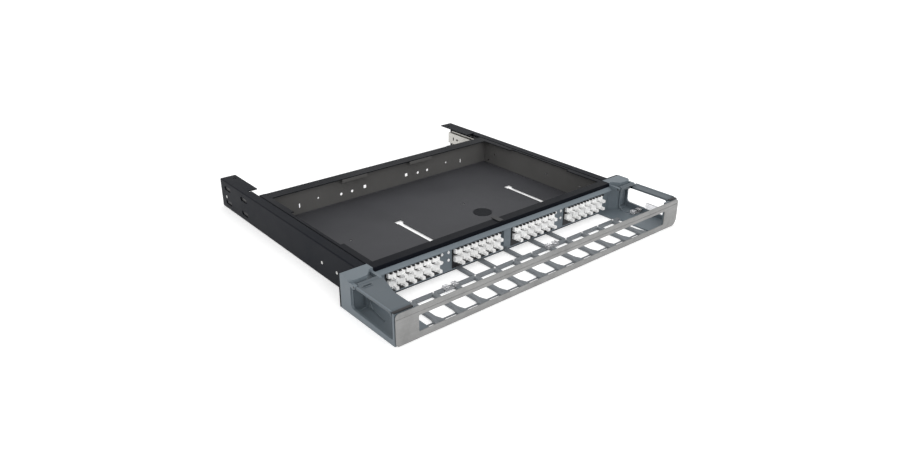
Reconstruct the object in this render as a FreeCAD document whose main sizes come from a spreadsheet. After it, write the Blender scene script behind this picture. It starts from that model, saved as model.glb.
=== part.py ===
"""Sliding fibre patch drawer for a 19 inch rack, one unit high.

The pieces are drawn with X across the drawer, y = 0 on the front face of the black front sheet, the front
towards -Y, and z = 0 on the underside. Each piece is then placed so that the origin of the model is the
centre of the rack holes, on the face of the ears that lies on the rack's rails.
"""
import FreeCAD, Part
import math
import os
import re
import Sketcher

DIMS = {
    # rack ears and side brackets
    "rack_width": 482.6,
    "ear_width": 21.3,
    "ear_slot_inset": 8.75,
    "hole_pitch": 31.75,
    "ear_slot_width": 6.8,
    "ear_slot_length": 10.3,
    "bracket_height": 43.2,
    "bracket_reach": 361,
    "bracket_steel": 1.5,
    "bracket_top_flange": 13,
    "bracket_rear_flange": 23.5,
    "bracket_rear_length": 72,
    "bracket_notch": 4,
    "bracket_foot": 11,
    "rear_slot_span": 53,
    "rear_slot_rise": 21.5,
    "rear_slot_length": 20,
    "rear_slot_width": 6,
    "rear_slot_inset": 48.5,
    "flange_hole": 4.2,
    "flange_hole_inset": 13.5,
    "flange_hole_span": 52,
    # slides
    "slide_thickness": 12.7,
    "slide_height": 35,
    "slide_front": 4,
    "slide_short": 11,
    "slide_steel": 1.2,
    "flange_reach": 11,
    "raceway_depth": 0.8,
    "raceway_flat": 2,
    "ball_line": 8,
    "ball_size": 3.2,
    "ball_play": 0.05,
    "ball_spacing": 45,
    "middle_web": 3,
    "middle_short": 8,
    "inner_edge": 5.8,
    "cage_front": 85,
    "cage_length": 184,
    "cage_steel": 0.6,
    "cage_reach": 10.4,
    "outer_cage_web": 2,
    "inner_cage_web": 4.6,
    "member_window_inset": 14,
    "member_window_width": 3,
    "member_window_height": 6,
    "member_oval_inset": 24,
    "member_oval_length": 6,
    "member_oval_width": 3.2,
    "member_hole_inset": 44,
    "member_hole": 3.2,
    # rivets and screws
    "rivet_size": 4,
    "rivet_bore": 1.8,
    "rivet_height": 19,
    "rivet_play": 0.05,
    "rivet_head": 0.5,
    "screw_head": 1.2,
    "slide_screw": 4,
    "front_screw": 3,
    "front_screw_height": 7.5,
    "guide_screw_inset": 29.3,
    "guide_screw_depth": 9,
    # tray
    "tray_steel": 1.2,
    "floor_height": 1.5,
    "tray_depth": 267,
    "rear_flange": 11,
    "tray_flange": 9.3,
    "tray_flange_narrow": 4.6,
    "narrow_from": 62,
    "narrow_to": 185,
    "seat_gap": 0.2,
    "front_tab_share": 1.3,
    "front_tab_height": 12,
    "end_tab_inset": 45.3,
    "tie_slot_width": 7.5,
    "tie_slot_from": 62,
    "tie_slot_to": 139,
    "tie_head_depth": 10,
    "tie_head_left": 5,
    "floor_hole": 3.6,
    "floor_hole_at": 137,
    "knockout_across": 57,
    "knockout_at": 95,
    "knockout_size": 29.2,
    "knockout_groove": 1.2,
    "wall_hole": 4.4,
    "wall_hole_height": 16,
    "wall_square": 5.2,
    "wall_square_across": 39,
    "wall_square_height": 17.6,
    "wall_slot_across": 151,
    "wall_slot_length": 7,
    "wall_slot_width": 2.2,
    "wall_pilot": 2.8,
    "wall_pilot_across": 120,
    "wall_pilot_height": 20,
    "side_hole": 3.2,
    "side_hole_inset": 10,
    # strip over the rear rim
    "rail_width": 20,
    "rail_drop": 13.2,
    "rail_tab_from": 39.5,
    "rail_tab_to": 83.5,
    "rail_tab_drop": 6.2,
    # front sheet and panel
    "front_steel": 1.2,
    "ear_gap": 0.3,
    "sheet_bottom": 0.6,
    "hood_depth": 13,
    "hood_drop": 5.2,
    "panel_depth": 12,
    "rail_reach": 18.5,
    "rail_edge_drop": 8.6,
    "rail_round": 1.5,
    "rail_nose": 0.8,
    "post_share": 0.55,
    "post_bottom": 9,
    "post_reach": 4,
    "snap_size": 2,
    "snap_head": 0.8,
    # adapters, blocks and dust caps
    "group_margin": 41.3,
    "adapter_pitch": 12.8,
    "adapters_across": 6,
    "row_pitch": 8.5,
    "row_drop": 20.1,
    "opening_play": 0.3,
    "block_wall": 0.8,
    "block_bottom": 3.4,
    "block_drop": 10,
    "block_front": 12.6,
    "block_rear": 4,
    "tooth_inset": 1,
    "tooth_slant": 1.2,
    "tooth_width": 2.8,
    "tooth_height": 1.8,
    "tooth_reach": 4.4,
    "adapter_width": 11.6,
    "adapter_height": 7.4,
    "adapter_play": 0.1,
    "adapter_length": 28,
    "cavity_depth": 7,
    "port_pitch": 5.6,
    "port_size": 5,
    "cap_width": 12.4,
    "cap_height": 8.1,
    "cap_notch": 2.4,
    "cap_thickness": 4.2,
    "cap_plug": 5,
    "grip_width": 4.6,
    "grip_height": 3,
    "grip_reach": 6,
    # bezel
    "front_depth": 106,
    "bezel_thickness": 3,
    "bezel_bottom": 1.6,
    "bezel_drop": 4.2,
    "bezel_round": 3,
    "bezel_large_round": 9,
    "window_bottom": 9.5,
    "window_drop": 14.4,
    "window_inset": 29.8,
    "window_round": 1.5,
    # lattice floor
    "lattice_height": 3,
    "beam_front": 52,
    "beam_rear": 43,
    "bays_across": 11,
    "bay_margin": 63.65,
    "bay_width": 20.8,
    "bay_bar": 3,
    "bay_front_inset": 14,
    "bar_height": 1.5,
    "sweep": 34,
    "lattice_lip": 2,
    "groove_depth": 1,
    "groove_width": 3,
    "end_bay_inset": 56.3,
    "rib_width": 5.5,
    # end guides
    "guide_wall": 3,
    "guide_floor": 2.2,
    "guide_floor_width": 49.4,
    "guide_floor_rear_width": 55.3,
    "column_width": 36.3,
    "column_depth": 24,
    "column_rise": 0.4,
    "column_round": 8,
    "column_recess": 6,
    "face_from": 5,
    "face_to": 14,
    "face_rake": 1.5,
    "recess_from": 17,
    "sill_height": 9,
    "sill_fall": 2.5,
    "sill_round": 5,
    "wall_drop": 3.6,
    "lug_half": 2.4,
    "lug_width": 3.5,
    "lug_gap": 0.5,
    # gate arms
    "arm_drop": 3.2,
    "arm_thickness": 2.6,
    "arm_rear_width": 35.3,
    "arm_front_width": 26.5,
    "arm_rear": 33,
    "arm_waist_inset": 39,
    "arm_tip_inset": 7,
    "tip_drop": 6,
    "arm_slot_inset": 12.3,
    "arm_slot_back": 37,
    "arm_slot_length": 11,
    "arm_slot_width": 3,
    "arm_boss_width": 6,
    "arm_boss_height": 0.5,
    "hinge_at": 28.5,
    "hinge_drop": 5.2,
    "hinge_pin": 2.6,
    "hinge_play": 0.1,
    "pin_play": 0.05,
    "barrel": 6.4,
    # clips, sill tab and snap
    "clip_half": 10,
    "clip_height": 5,
    "clip_wall": 1.2,
    "clip_mouth": 3,
    "clip_play": 1,
    "clip_inset": 13.3,
    "sill_tab_from": 55,
    "sill_tab_to": 79,
    "sill_tab_top": 17,
    "sill_tab_bottom": 8.2,
    "sill_tab_round": 2,
    "snap_left": 10,
    "snap_right": 2,
    "snap_behind": 6,
    "snap_thickness": 1,
}

FOLLOWING = {
    "hole_span": "(rack_width - 2 * ear_slot_inset)",
    "bracket_width": "(rack_width - 2 * ear_width)",
    "slide_length": "(bracket_reach - slide_short)",
    "tray_height": "bracket_height",
    "rear_wall_at": "(tray_depth - rear_flange)",
    "rail_drop_to": "(bracket_height - rail_drop)",
    "rail_tab_bottom": "(bracket_height - rail_tab_drop)",
    "rail_edge": "(bracket_height - rail_edge_drop)",
    "guide_screw_at": "(rack_width / 2 - guide_screw_inset)",
    "group_pitch": "((rack_width - 2 * group_margin) / 4)",
    "separator_half": "((rack_width - 2 * group_margin) / 8 - adapters_across * adapter_pitch / 2 - block_wall)",
    "row_middle": "(bracket_height - row_drop)",
    "block_top": "(bracket_height - block_drop)",
    "bezel_top": "(bracket_height - bezel_drop)",
    "window_top": "(bracket_height - window_drop)",
    "window_half": "(rack_width / 2 - window_inset)",
    "bay_pitch": "((rack_width - 2 * bay_margin) / bays_across)",
    "bay_front": "(front_depth - bay_front_inset)",
    "end_bay_from": "(rack_width / 2 - end_bay_inset)",
    "floor_inner": "(rack_width / 2 - guide_floor_width)",
    "guide_floor_inner": "(rack_width / 2 - guide_floor_rear_width)",
    "column_inner": "(rack_width / 2 - column_width)",
    "column_height": "(bracket_height + column_rise)",
    "arm_top": "(bracket_height - arm_drop)",
    "arm_inner_rear": "(rack_width / 2 - arm_rear_width)",
    "arm_inner_front": "(rack_width / 2 - arm_front_width)",
    "arm_waist": "(front_depth - arm_waist_inset)",
    "arm_tip": "(front_depth - arm_tip_inset)",
    "arm_slot_at": "(rack_width / 2 - arm_slot_inset)",
    "hinge_height": "(bracket_height - hinge_drop)",
}

TRAY = "(bracket_width / 2 - bracket_steel - slide_thickness)"
TRAY_INSIDE = "(bracket_width / 2 - bracket_steel - slide_thickness - tray_steel)"
EAR_FRONT = "(front_steel + ear_gap)"
RAIL_FACE = "(front_steel + ear_gap + bracket_steel)"
BRACKET_END = "(front_steel + ear_gap + bracket_steel + bracket_reach)"
BEZEL_BACK = "(bezel_thickness - front_depth)"
BLOCK_HALF = "(adapters_across * adapter_pitch / 2 + block_wall)"
SLIDE_MIDDLE = "(bracket_height / 2)"
OUTER_BALL = "(slide_height / 2 - slide_steel - ball_size / 2 - ball_play)"
MIDDLE_HALF = "(slide_height / 2 - slide_steel - ball_size - 2 * ball_play)"
INNER_BALL = "(slide_height / 2 - 2 * slide_steel - 1.5 * ball_size - 3 * ball_play)"
INNER_RACE = "(slide_height / 2 - 2 * slide_steel - 2 * ball_size - 4 * ball_play)"
RIVETS = ("43", "77", "slide_front + slide_length - 6")
SLIDE_SCREWS = ("41", "110", "230")
FRONT_TABS = ("end_tab_inset - rack_width / 2", "-group_pitch", "0", "group_pitch", "rack_width / 2 - end_tab_inset")
GUIDE_SCREWS = ("9", "bracket_height - 10.2")
SIDE_HOLES = ("8.6", "bracket_height - 9.5")
SNAP_LEVELS = ("block_top - 16.2", "block_top - 5.7", "block_top - 1.9")
TIE_SLOTS = ("-58", "154")
FLOOR_HOLES = ("-141.5", "56.4")
WALL_HOLES = ("62", "81")
GROUPS = ("-1.5 * group_pitch", "-0.5 * group_pitch", "0.5 * group_pitch", "1.5 * group_pitch")
RIBS = ("-80", "-45", "0", "45", "80")
LATTICE_CLIPS = ("-121.5", "50.5")
LUGS = (("column_inner + lug_gap", "column_inner + lug_gap + lug_width"),
        ("rack_width / 2 - lug_gap - lug_width", "rack_width / 2"))
BARREL = ("column_inner + 2 * lug_gap + lug_width", "rack_width / 2 - 2 * lug_gap - lug_width")
BALLS = 4
SIDES = (("left", -1), ("right", 1))

doc = FreeCAD.newDocument("patch_drawer")
sheet = doc.addObject("Spreadsheet::Sheet", "dims")
for row, (name, number) in enumerate(DIMS.items(), 1):
    sheet.set("A%d" % row, name)
    sheet.set("B%d" % row, str(number))
    sheet.setAlias("B%d" % row, name)
doc.recompute()

nodes = []


def bound(text):
    """The expression with each following size written out and each named size pointed at its cell."""
    full = re.sub(r"[a-z][a-z_]+", lambda word: FOLLOWING.get(word.group(), word.group()), str(text))
    return re.sub(r"[a-z][a-z_]+", lambda word: "dims." + word.group() if word.group() in DIMS else word.group(),
                  full)


def value(text):
    """The number that an expression comes to."""
    return float(sheet.evalExpression(bound(text)))


def sided(side, text):
    """A distance from the middle, on the left (-1) or on the right (1)."""
    return "%d * (%s)" % (side, text)


def new_node(label):
    """A body for one node, moved from the drawing's datum to the centre of the rack holes."""
    body = doc.addObject("PartDesign::Body", label)
    body.Label = label
    body.setExpression("Placement.Base.y", bound("-" + RAIL_FACE))
    body.setExpression("Placement.Base.z", bound("-bracket_height / 2"))
    nodes.append(body)
    return body


NORMAL = {"XY_Plane": 1, "XZ_Plane": -1, "YZ_Plane": 1}


def origin_plane(body, plane):
    """One of the body's own origin planes."""
    return next(feature for feature in body.Origin.OriginFeatures if feature.Role == plane)


def new_sketch(body, plane, level="0"):
    """A sketch on one of the body's own planes, at a level along that plane's world axis."""
    sketch = body.newObject("Sketcher::SketchObject", "sketch")
    sketch.AttachmentSupport = [(origin_plane(body, plane), "")]
    sketch.MapMode = "FlatFace"
    sketch.setExpression("AttachmentOffset.Base.z", bound("%d * (%s)" % (NORMAL[plane], level)))
    return sketch


def fix(sketch, kind, place, text):
    """A dimension of the sketch, bound to its expression."""
    index = sketch.addConstraint(Sketcher.Constraint(kind, *place, value(text)))
    sketch.setExpression("Constraints[%d]" % index, bound(text))


def fix_point(sketch, geometry, which, across, up):
    """Both coordinates of a point, measured from the sketch's origin."""
    fix(sketch, "DistanceX", (-1, 1, geometry, which), across)
    fix(sketch, "DistanceY", (-1, 1, geometry, which), up)


def outline(sketch, points):
    """A closed outline through the points; a point with a third value is rounded to that radius."""
    count = len(points)
    corner = [FreeCAD.Vector(value(point[0]), value(point[1]), 0) for point in points]
    starts, ends, rounds = list(corner), list(corner), {}
    for index, point in enumerate(points):
        if len(point) < 3:
            continue
        radius = value(point[2])
        back = (corner[index - 1] - corner[index]).normalize()
        ahead = (corner[(index + 1) % count] - corner[index]).normalize()
        half = back.getAngle(ahead) / 2
        reach = radius / math.tan(half)
        ends[index] = corner[index] + back * reach
        starts[index] = corner[index] + ahead * reach
        centre = corner[index] + (back + ahead).normalize() * (radius / math.sin(half))
        rounds[index] = (centre, radius, back, ahead, point[2])
    first = sketch.GeometryCount
    for index in range(count):
        sketch.addGeometry(Part.LineSegment(starts[index], ends[(index + 1) % count]), False)
    for index, point in enumerate(points):
        incoming = first + (index - 1) % count
        outgoing = first + index
        if index not in rounds:
            sketch.addConstraint(Sketcher.Constraint("Coincident", incoming, 2, outgoing, 1))
            fix_point(sketch, outgoing, 1, point[0], point[1])
            continue
        centre, radius, back, ahead, text = rounds[index]
        left_turn = back.cross(ahead).z < 0
        from_point, to_point = (ends[index], starts[index]) if left_turn else (starts[index], ends[index])
        angles = [math.atan2(p.y - centre.y, p.x - centre.x) for p in (from_point, to_point)]
        arc = sketch.addGeometry(Part.ArcOfCircle(Part.Circle(centre, FreeCAD.Vector(0, 0, 1), radius), *angles),
                                 False)
        near, far = (1, 2) if left_turn else (2, 1)
        sketch.addConstraint(Sketcher.Constraint("Tangent", incoming, 2, arc, near))
        sketch.addConstraint(Sketcher.Constraint("Tangent", outgoing, 1, arc, far))
        fix(sketch, "Radius", (arc,), text)
        knot = sketch.addGeometry(Part.Point(corner[index]), True)
        sketch.addConstraint(Sketcher.Constraint("PointOnObject", knot, 1, incoming))
        sketch.addConstraint(Sketcher.Constraint("PointOnObject", knot, 1, outgoing))
        fix_point(sketch, knot, 1, point[0], point[1])


def rectangle(sketch, left, low, right, high, radius=None):
    """A rectangle, with its corners rounded if a radius is given."""
    end = () if radius is None else (radius,)
    outline(sketch, [(x, y) + end for x, y in ((left, low), (right, low), (right, high), (left, high))])


def disc(sketch, across, up, radius):
    """A circle."""
    middle = FreeCAD.Vector(value(across), value(up), 0)
    circle = sketch.addGeometry(Part.Circle(middle, FreeCAD.Vector(0, 0, 1), value(radius)), False)
    fix_point(sketch, circle, 3, across, up)
    fix(sketch, "Radius", (circle,), radius)


def slot(sketch, across, up, length, width, upright=False):
    """A round-ended slot about its middle, lying along the sketch's first axis or upright."""
    half = "((%s) - (%s)) / 2" % (length, width)
    start = math.pi if upright else math.pi / 2
    arcs = []
    for sign in ("-", "+"):
        middle_across = across if upright else "%s %s %s" % (across, sign, half)
        middle_up = "%s %s %s" % (up, sign, half) if upright else up
        middle = FreeCAD.Vector(value(middle_across), value(middle_up), 0)
        circle = Part.Circle(middle, FreeCAD.Vector(0, 0, 1), value(width) / 2)
        arc = sketch.addGeometry(Part.ArcOfCircle(circle, start, start + math.pi), False)
        fix_point(sketch, arc, 3, middle_across, middle_up)
        arcs.append(arc)
        start += math.pi
    for one, other in (arcs, arcs[::-1]):
        ends = (sketch.Geometry[one].EndPoint, sketch.Geometry[other].StartPoint)
        line = sketch.addGeometry(Part.LineSegment(*ends), False)
        sketch.addConstraint(Sketcher.Constraint("Tangent", one, 2, line, 1))
        sketch.addConstraint(Sketcher.Constraint("Tangent", line, 2, other, 1))
    sketch.addConstraint(Sketcher.Constraint("Equal", *arcs))
    fix(sketch, "Radius", (arcs[0],), "(%s) / 2" % width)


def extrude(kind, sketch, length, outward):
    """A pad or a pocket from the sketch, its length signed along the world axis that it runs along."""
    plane = sketch.AttachmentSupport[0][0].Role
    feature = sketch.getParentGeoFeatureGroup().newObject("PartDesign::" + kind, kind)
    feature.Profile = sketch
    feature.setExpression("Length", bound("abs(%s)" % length))
    feature.Reversed = value(length) * NORMAL[plane] * outward < 0
    return feature


def pad(sketch, length):
    """Material from the sketch over the length."""
    return extrude("Pad", sketch, length, 1)


def cut(sketch, length):
    """The sketch taken out over the length; the volume has to fall."""
    body = sketch.getParentGeoFeatureGroup()
    doc.recompute()
    before = body.Shape.Volume
    feature = extrude("Pocket", sketch, length, -1)
    doc.recompute()
    if body.Shape.Volume >= before:
        raise ValueError("a cut in %s takes nothing away" % body.Label)
    return feature


def row_of(feature, spacing, count):
    """Copies of a pad or a pocket in a row along its sketch's first axis."""
    body = feature.getParentGeoFeatureGroup()
    pattern = body.newObject("PartDesign::LinearPattern", "row")
    pattern.Originals = [feature]
    pattern.Direction = (feature.Profile[0], ["H_Axis"])
    pattern.Mode = "Spacing"
    pattern.setExpression("Offset", bound(spacing))
    pattern.setExpression("Occurrences", bound(count))
    body.Tip = pattern
    return pattern


def whole_row(feature):
    """The whole body so far, repeated at every adapter across a group."""
    row_of(feature, "adapter_pitch", "adapters_across").TransformMode = "Whole shape"


def from_side(side, inset):
    """A place on one side, so far in from the bracket's outer face."""
    return sided(side, "bracket_width / 2 - (%s)" % inset)


def from_web(side, inset):
    """A place in the space for a slide, so far in from the bracket's inner face."""
    return sided(side, "bracket_width / 2 - bracket_steel - (%s)" % inset)


def side_bracket(name, side):
    """Bracket folded from one sheet: web, foot, top flange and the ear that is screwed to the rack."""
    body = new_node(name + "_side_bracket")
    sketch = new_sketch(body, "XZ_Plane", EAR_FRONT)
    outline(sketch, [
        (from_side(side, 0), "0", "bracket_steel"),
        (from_side(side, 0), "bracket_height", "bracket_steel"),
        (from_side(side, "bracket_rear_flange"), "bracket_height"),
        (from_side(side, "bracket_rear_flange"), "bracket_height - bracket_steel"),
        (from_side(side, "bracket_steel"), "bracket_height - bracket_steel"),
        (from_side(side, "bracket_steel"), "bracket_steel"),
        (from_side(side, "bracket_foot"), "bracket_steel"),
        (from_side(side, "bracket_foot"), "0"),
    ])
    pad(sketch, "bracket_steel + bracket_reach")
    # the ear, with its two slots
    sketch = new_sketch(body, "XZ_Plane", EAR_FRONT)
    rectangle(sketch, from_side(side, "bracket_steel"), "0", sided(side, "rack_width / 2"), "bracket_height")
    pad(sketch, "bracket_steel")
    sketch = new_sketch(body, "XZ_Plane", EAR_FRONT)
    for level in (-1, 1):
        slot(sketch, sided(side, "hole_span / 2"), "bracket_height / 2 + %d * hole_pitch / 2" % level,
             "ear_slot_length", "ear_slot_width")
    cut(sketch, "bracket_steel")
    # the top flange is narrow in front, with a relief where it widens
    sketch = new_sketch(body, "XY_Plane", "bracket_height - bracket_steel")
    rear = BRACKET_END + " - bracket_rear_length"
    outline(sketch, [
        (from_side(side, "bracket_top_flange"), EAR_FRONT),
        (from_side(side, "bracket_top_flange"), rear + " - bracket_notch"),
        (from_side(side, "bracket_top_flange - bracket_notch"), rear + " - bracket_notch"),
        (from_side(side, "bracket_top_flange - bracket_notch"), rear),
        (from_side(side, "bracket_rear_flange"), rear),
        (from_side(side, "bracket_rear_flange"), EAR_FRONT),
    ])
    cut(sketch, "bracket_steel")
    sketch = new_sketch(body, "XY_Plane", "bracket_height - bracket_steel")
    for inset in ("flange_hole_inset", "flange_hole_inset + flange_hole_span"):
        disc(sketch, from_side(side, "bracket_rear_flange * 0.7"), BRACKET_END + " - " + inset, "flange_hole / 2")
    cut(sketch, "bracket_steel")
    # slots for a rear support, and the holes for the slide's rivets
    sketch = new_sketch(body, "YZ_Plane", from_side(side, "0"))
    for along in (-1, 1):
        for level in (-1, 1):
            slot(sketch, BRACKET_END + " - rear_slot_inset + %d * rear_slot_span / 2" % along,
                 "bracket_height / 2 + %d * rear_slot_rise / 2" % level, "rear_slot_length", "rear_slot_width")
    for place in RIVETS:
        disc(sketch, place, "rivet_height", "rivet_size / 2 + rivet_play")
    cut(sketch, sided(-side, "bracket_steel"))


def channel(sketch, side, path):
    """A channel's section, from the upper half of its outline; the lower half mirrors it."""
    upper = [(from_web(side, inset), "%s + (%s)" % (SLIDE_MIDDLE, level)) for inset, level in path]
    lower = [(from_web(side, inset), "%s - (%s)" % (SLIDE_MIDDLE, level)) for inset, level in reversed(path)]
    outline(sketch, upper + lower)


def raceway(face, depth):
    """The trapezoid groove in a flange about the line of balls, as insets and levels."""
    flat = "raceway_flat / 2"
    return [("ball_line - %s - raceway_depth" % flat, face),
            ("ball_line - " + flat, "%s + %s" % (face, depth)),
            ("ball_line + " + flat, "%s + %s" % (face, depth)),
            ("ball_line + %s + raceway_depth" % flat, face)]


def outer_member(name, side):
    """Fixed member of the slide: a channel whose flanges bulge outward into raceways."""
    body = new_node(name + "_outer_slide_member")
    sketch = new_sketch(body, "XZ_Plane", "slide_front")
    outside = "(slide_height / 2 - raceway_depth)"
    inside = "(slide_height / 2 - raceway_depth - slide_steel)"
    path = [("0", outside)] + raceway(outside, "raceway_depth") + [("flange_reach", outside)]
    back = [("slide_steel", inside)] + raceway(inside, "raceway_depth") + [("flange_reach", inside)]
    channel(sketch, side, path + back[::-1])
    pad(sketch, "slide_length")
    sketch = new_sketch(body, "YZ_Plane", from_web(side, "0"))
    for place in RIVETS:
        disc(sketch, place, "rivet_height", "rivet_size / 2 + rivet_play")
    cut(sketch, sided(-side, "slide_steel"))


def middle_member(name, side):
    """Middle member: a plain channel that runs in the outer member and carries the inner one."""
    body = new_node(name + "_middle_slide_member")
    sketch = new_sketch(body, "XZ_Plane", "slide_front")
    channel(sketch, side, [
        ("middle_web", MIDDLE_HALF), ("flange_reach", MIDDLE_HALF),
        ("flange_reach", MIDDLE_HALF + " - slide_steel"),
        ("middle_web + slide_steel", MIDDLE_HALF + " - slide_steel"),
    ])
    pad(sketch, "slide_length - middle_short")


def inner_member(name, side):
    """Inner member, screwed to the tray: a channel that faces the other way, with raceways pressed inward."""
    body = new_node(name + "_inner_slide_member")
    sketch = new_sketch(body, "XZ_Plane", "slide_front")
    outside = "(%s + raceway_depth)" % INNER_RACE
    inside = "(%s + raceway_depth - slide_steel)" % INNER_RACE
    path = [("slide_thickness", outside)] + raceway(outside, "-raceway_depth")[::-1] + [("inner_edge", outside)]
    back = ([("slide_thickness - slide_steel", inside)] + raceway(inside, "-raceway_depth")[::-1]
            + [("inner_edge", inside)])
    channel(sketch, side, path + back[::-1])
    pad(sketch, "slide_length")
    sketch = new_sketch(body, "YZ_Plane", from_web(side, "slide_thickness"))
    for place in SLIDE_SCREWS:
        disc(sketch, place, SLIDE_MIDDLE, "slide_screw / 2 + rivet_play")
    # a rectangular window, an oval and a small hole near the rear end
    rear = "slide_front + slide_length - "
    centred(sketch, rear + "member_window_inset", SLIDE_MIDDLE, "member_window_width", "member_window_height")
    slot(sketch, rear + "member_oval_inset", SLIDE_MIDDLE, "member_oval_length", "member_oval_width")
    disc(sketch, rear + "member_hole_inset", SLIDE_MIDDLE, "member_hole / 2")
    cut(sketch, sided(side, "slide_steel"))


def cage(name, side, which, web, level):
    """Cage of thin strip round the inside of a member, with a round hole for each ball."""
    body = new_node("%s_%s_ball_cage" % (name, which))
    sketch = new_sketch(body, "XZ_Plane", "cage_front")
    face = "(%s + cage_steel / 2)" % level
    channel(sketch, side, [
        (web, face), ("cage_reach", face), ("cage_reach", face + " - cage_steel"),
        (web + " + cage_steel", face + " - cage_steel"),
    ])
    pad(sketch, "cage_length")
    sketch = new_sketch(body, "XY_Plane", SLIDE_MIDDLE + " - slide_height / 2")
    for index in range(BALLS):
        disc(sketch, from_web(side, "ball_line"), ball_place(index), "ball_size / 2 + ball_play")
    cut(sketch, "slide_height")


def ball_place(index):
    """Where the balls lie along a cage."""
    return "cage_front + cage_length / 2 + %s * ball_spacing" % (index - (BALLS - 1) / 2)


def cage_balls(name, side, which, level):
    """The balls of one cage, in an upper and a lower row."""
    body = new_node("%s_%s_slide_balls" % (name, which))
    for row_sign in ("+", "-"):
        for index in range(BALLS):
            ball = body.newObject("PartDesign::AdditiveSphere", "ball")
            ball.AttachmentSupport = [(origin_plane(body, "XY_Plane"), "")]
            ball.MapMode = "FlatFace"
            ball.setExpression("Radius", bound("ball_size / 2"))
            ball.setExpression("AttachmentOffset.Base.x", bound(from_web(side, "ball_line")))
            ball.setExpression("AttachmentOffset.Base.y", bound(ball_place(index)))
            ball.setExpression("AttachmentOffset.Base.z", bound("%s %s %s" % (SLIDE_MIDDLE, row_sign, level)))


def slide_rivets(name, side):
    """Hollow rivets, flush outside, with a low head inside the outer member's channel."""
    body = new_node(name + "_slide_rivets")
    sketch = new_sketch(body, "YZ_Plane", from_side(side, "0"))
    for place in RIVETS:
        disc(sketch, place, "rivet_height", "rivet_size / 2")
    pad(sketch, sided(-side, "bracket_steel + slide_steel"))
    sketch = new_sketch(body, "YZ_Plane", from_web(side, "slide_steel"))
    for place in RIVETS:
        disc(sketch, place, "rivet_height", "rivet_size * 0.8")
    pad(sketch, sided(-side, "rivet_head"))
    sketch = new_sketch(body, "YZ_Plane", from_side(side, "0"))
    for place in RIVETS:
        disc(sketch, place, "rivet_height", "rivet_bore / 2")
    cut(sketch, sided(-side, "bracket_steel + slide_steel + rivet_head"))


def slide_screws(name, side):
    """Low-headed screws that hold the inner member to the tray's wall."""
    body = new_node(name + "_inner_slide_screws")
    sketch = new_sketch(body, "YZ_Plane", from_web(side, "slide_thickness - slide_steel"))
    for place in SLIDE_SCREWS:
        disc(sketch, place, SLIDE_MIDDLE, "slide_screw * 0.85")
    pad(sketch, sided(side, "screw_head"))
    sketch = new_sketch(body, "YZ_Plane", from_web(side, "slide_thickness - slide_steel"))
    for place in SLIDE_SCREWS:
        disc(sketch, place, SLIDE_MIDDLE, "slide_screw / 2")
    pad(sketch, sided(-side, "slide_steel + tray_steel"))


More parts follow.
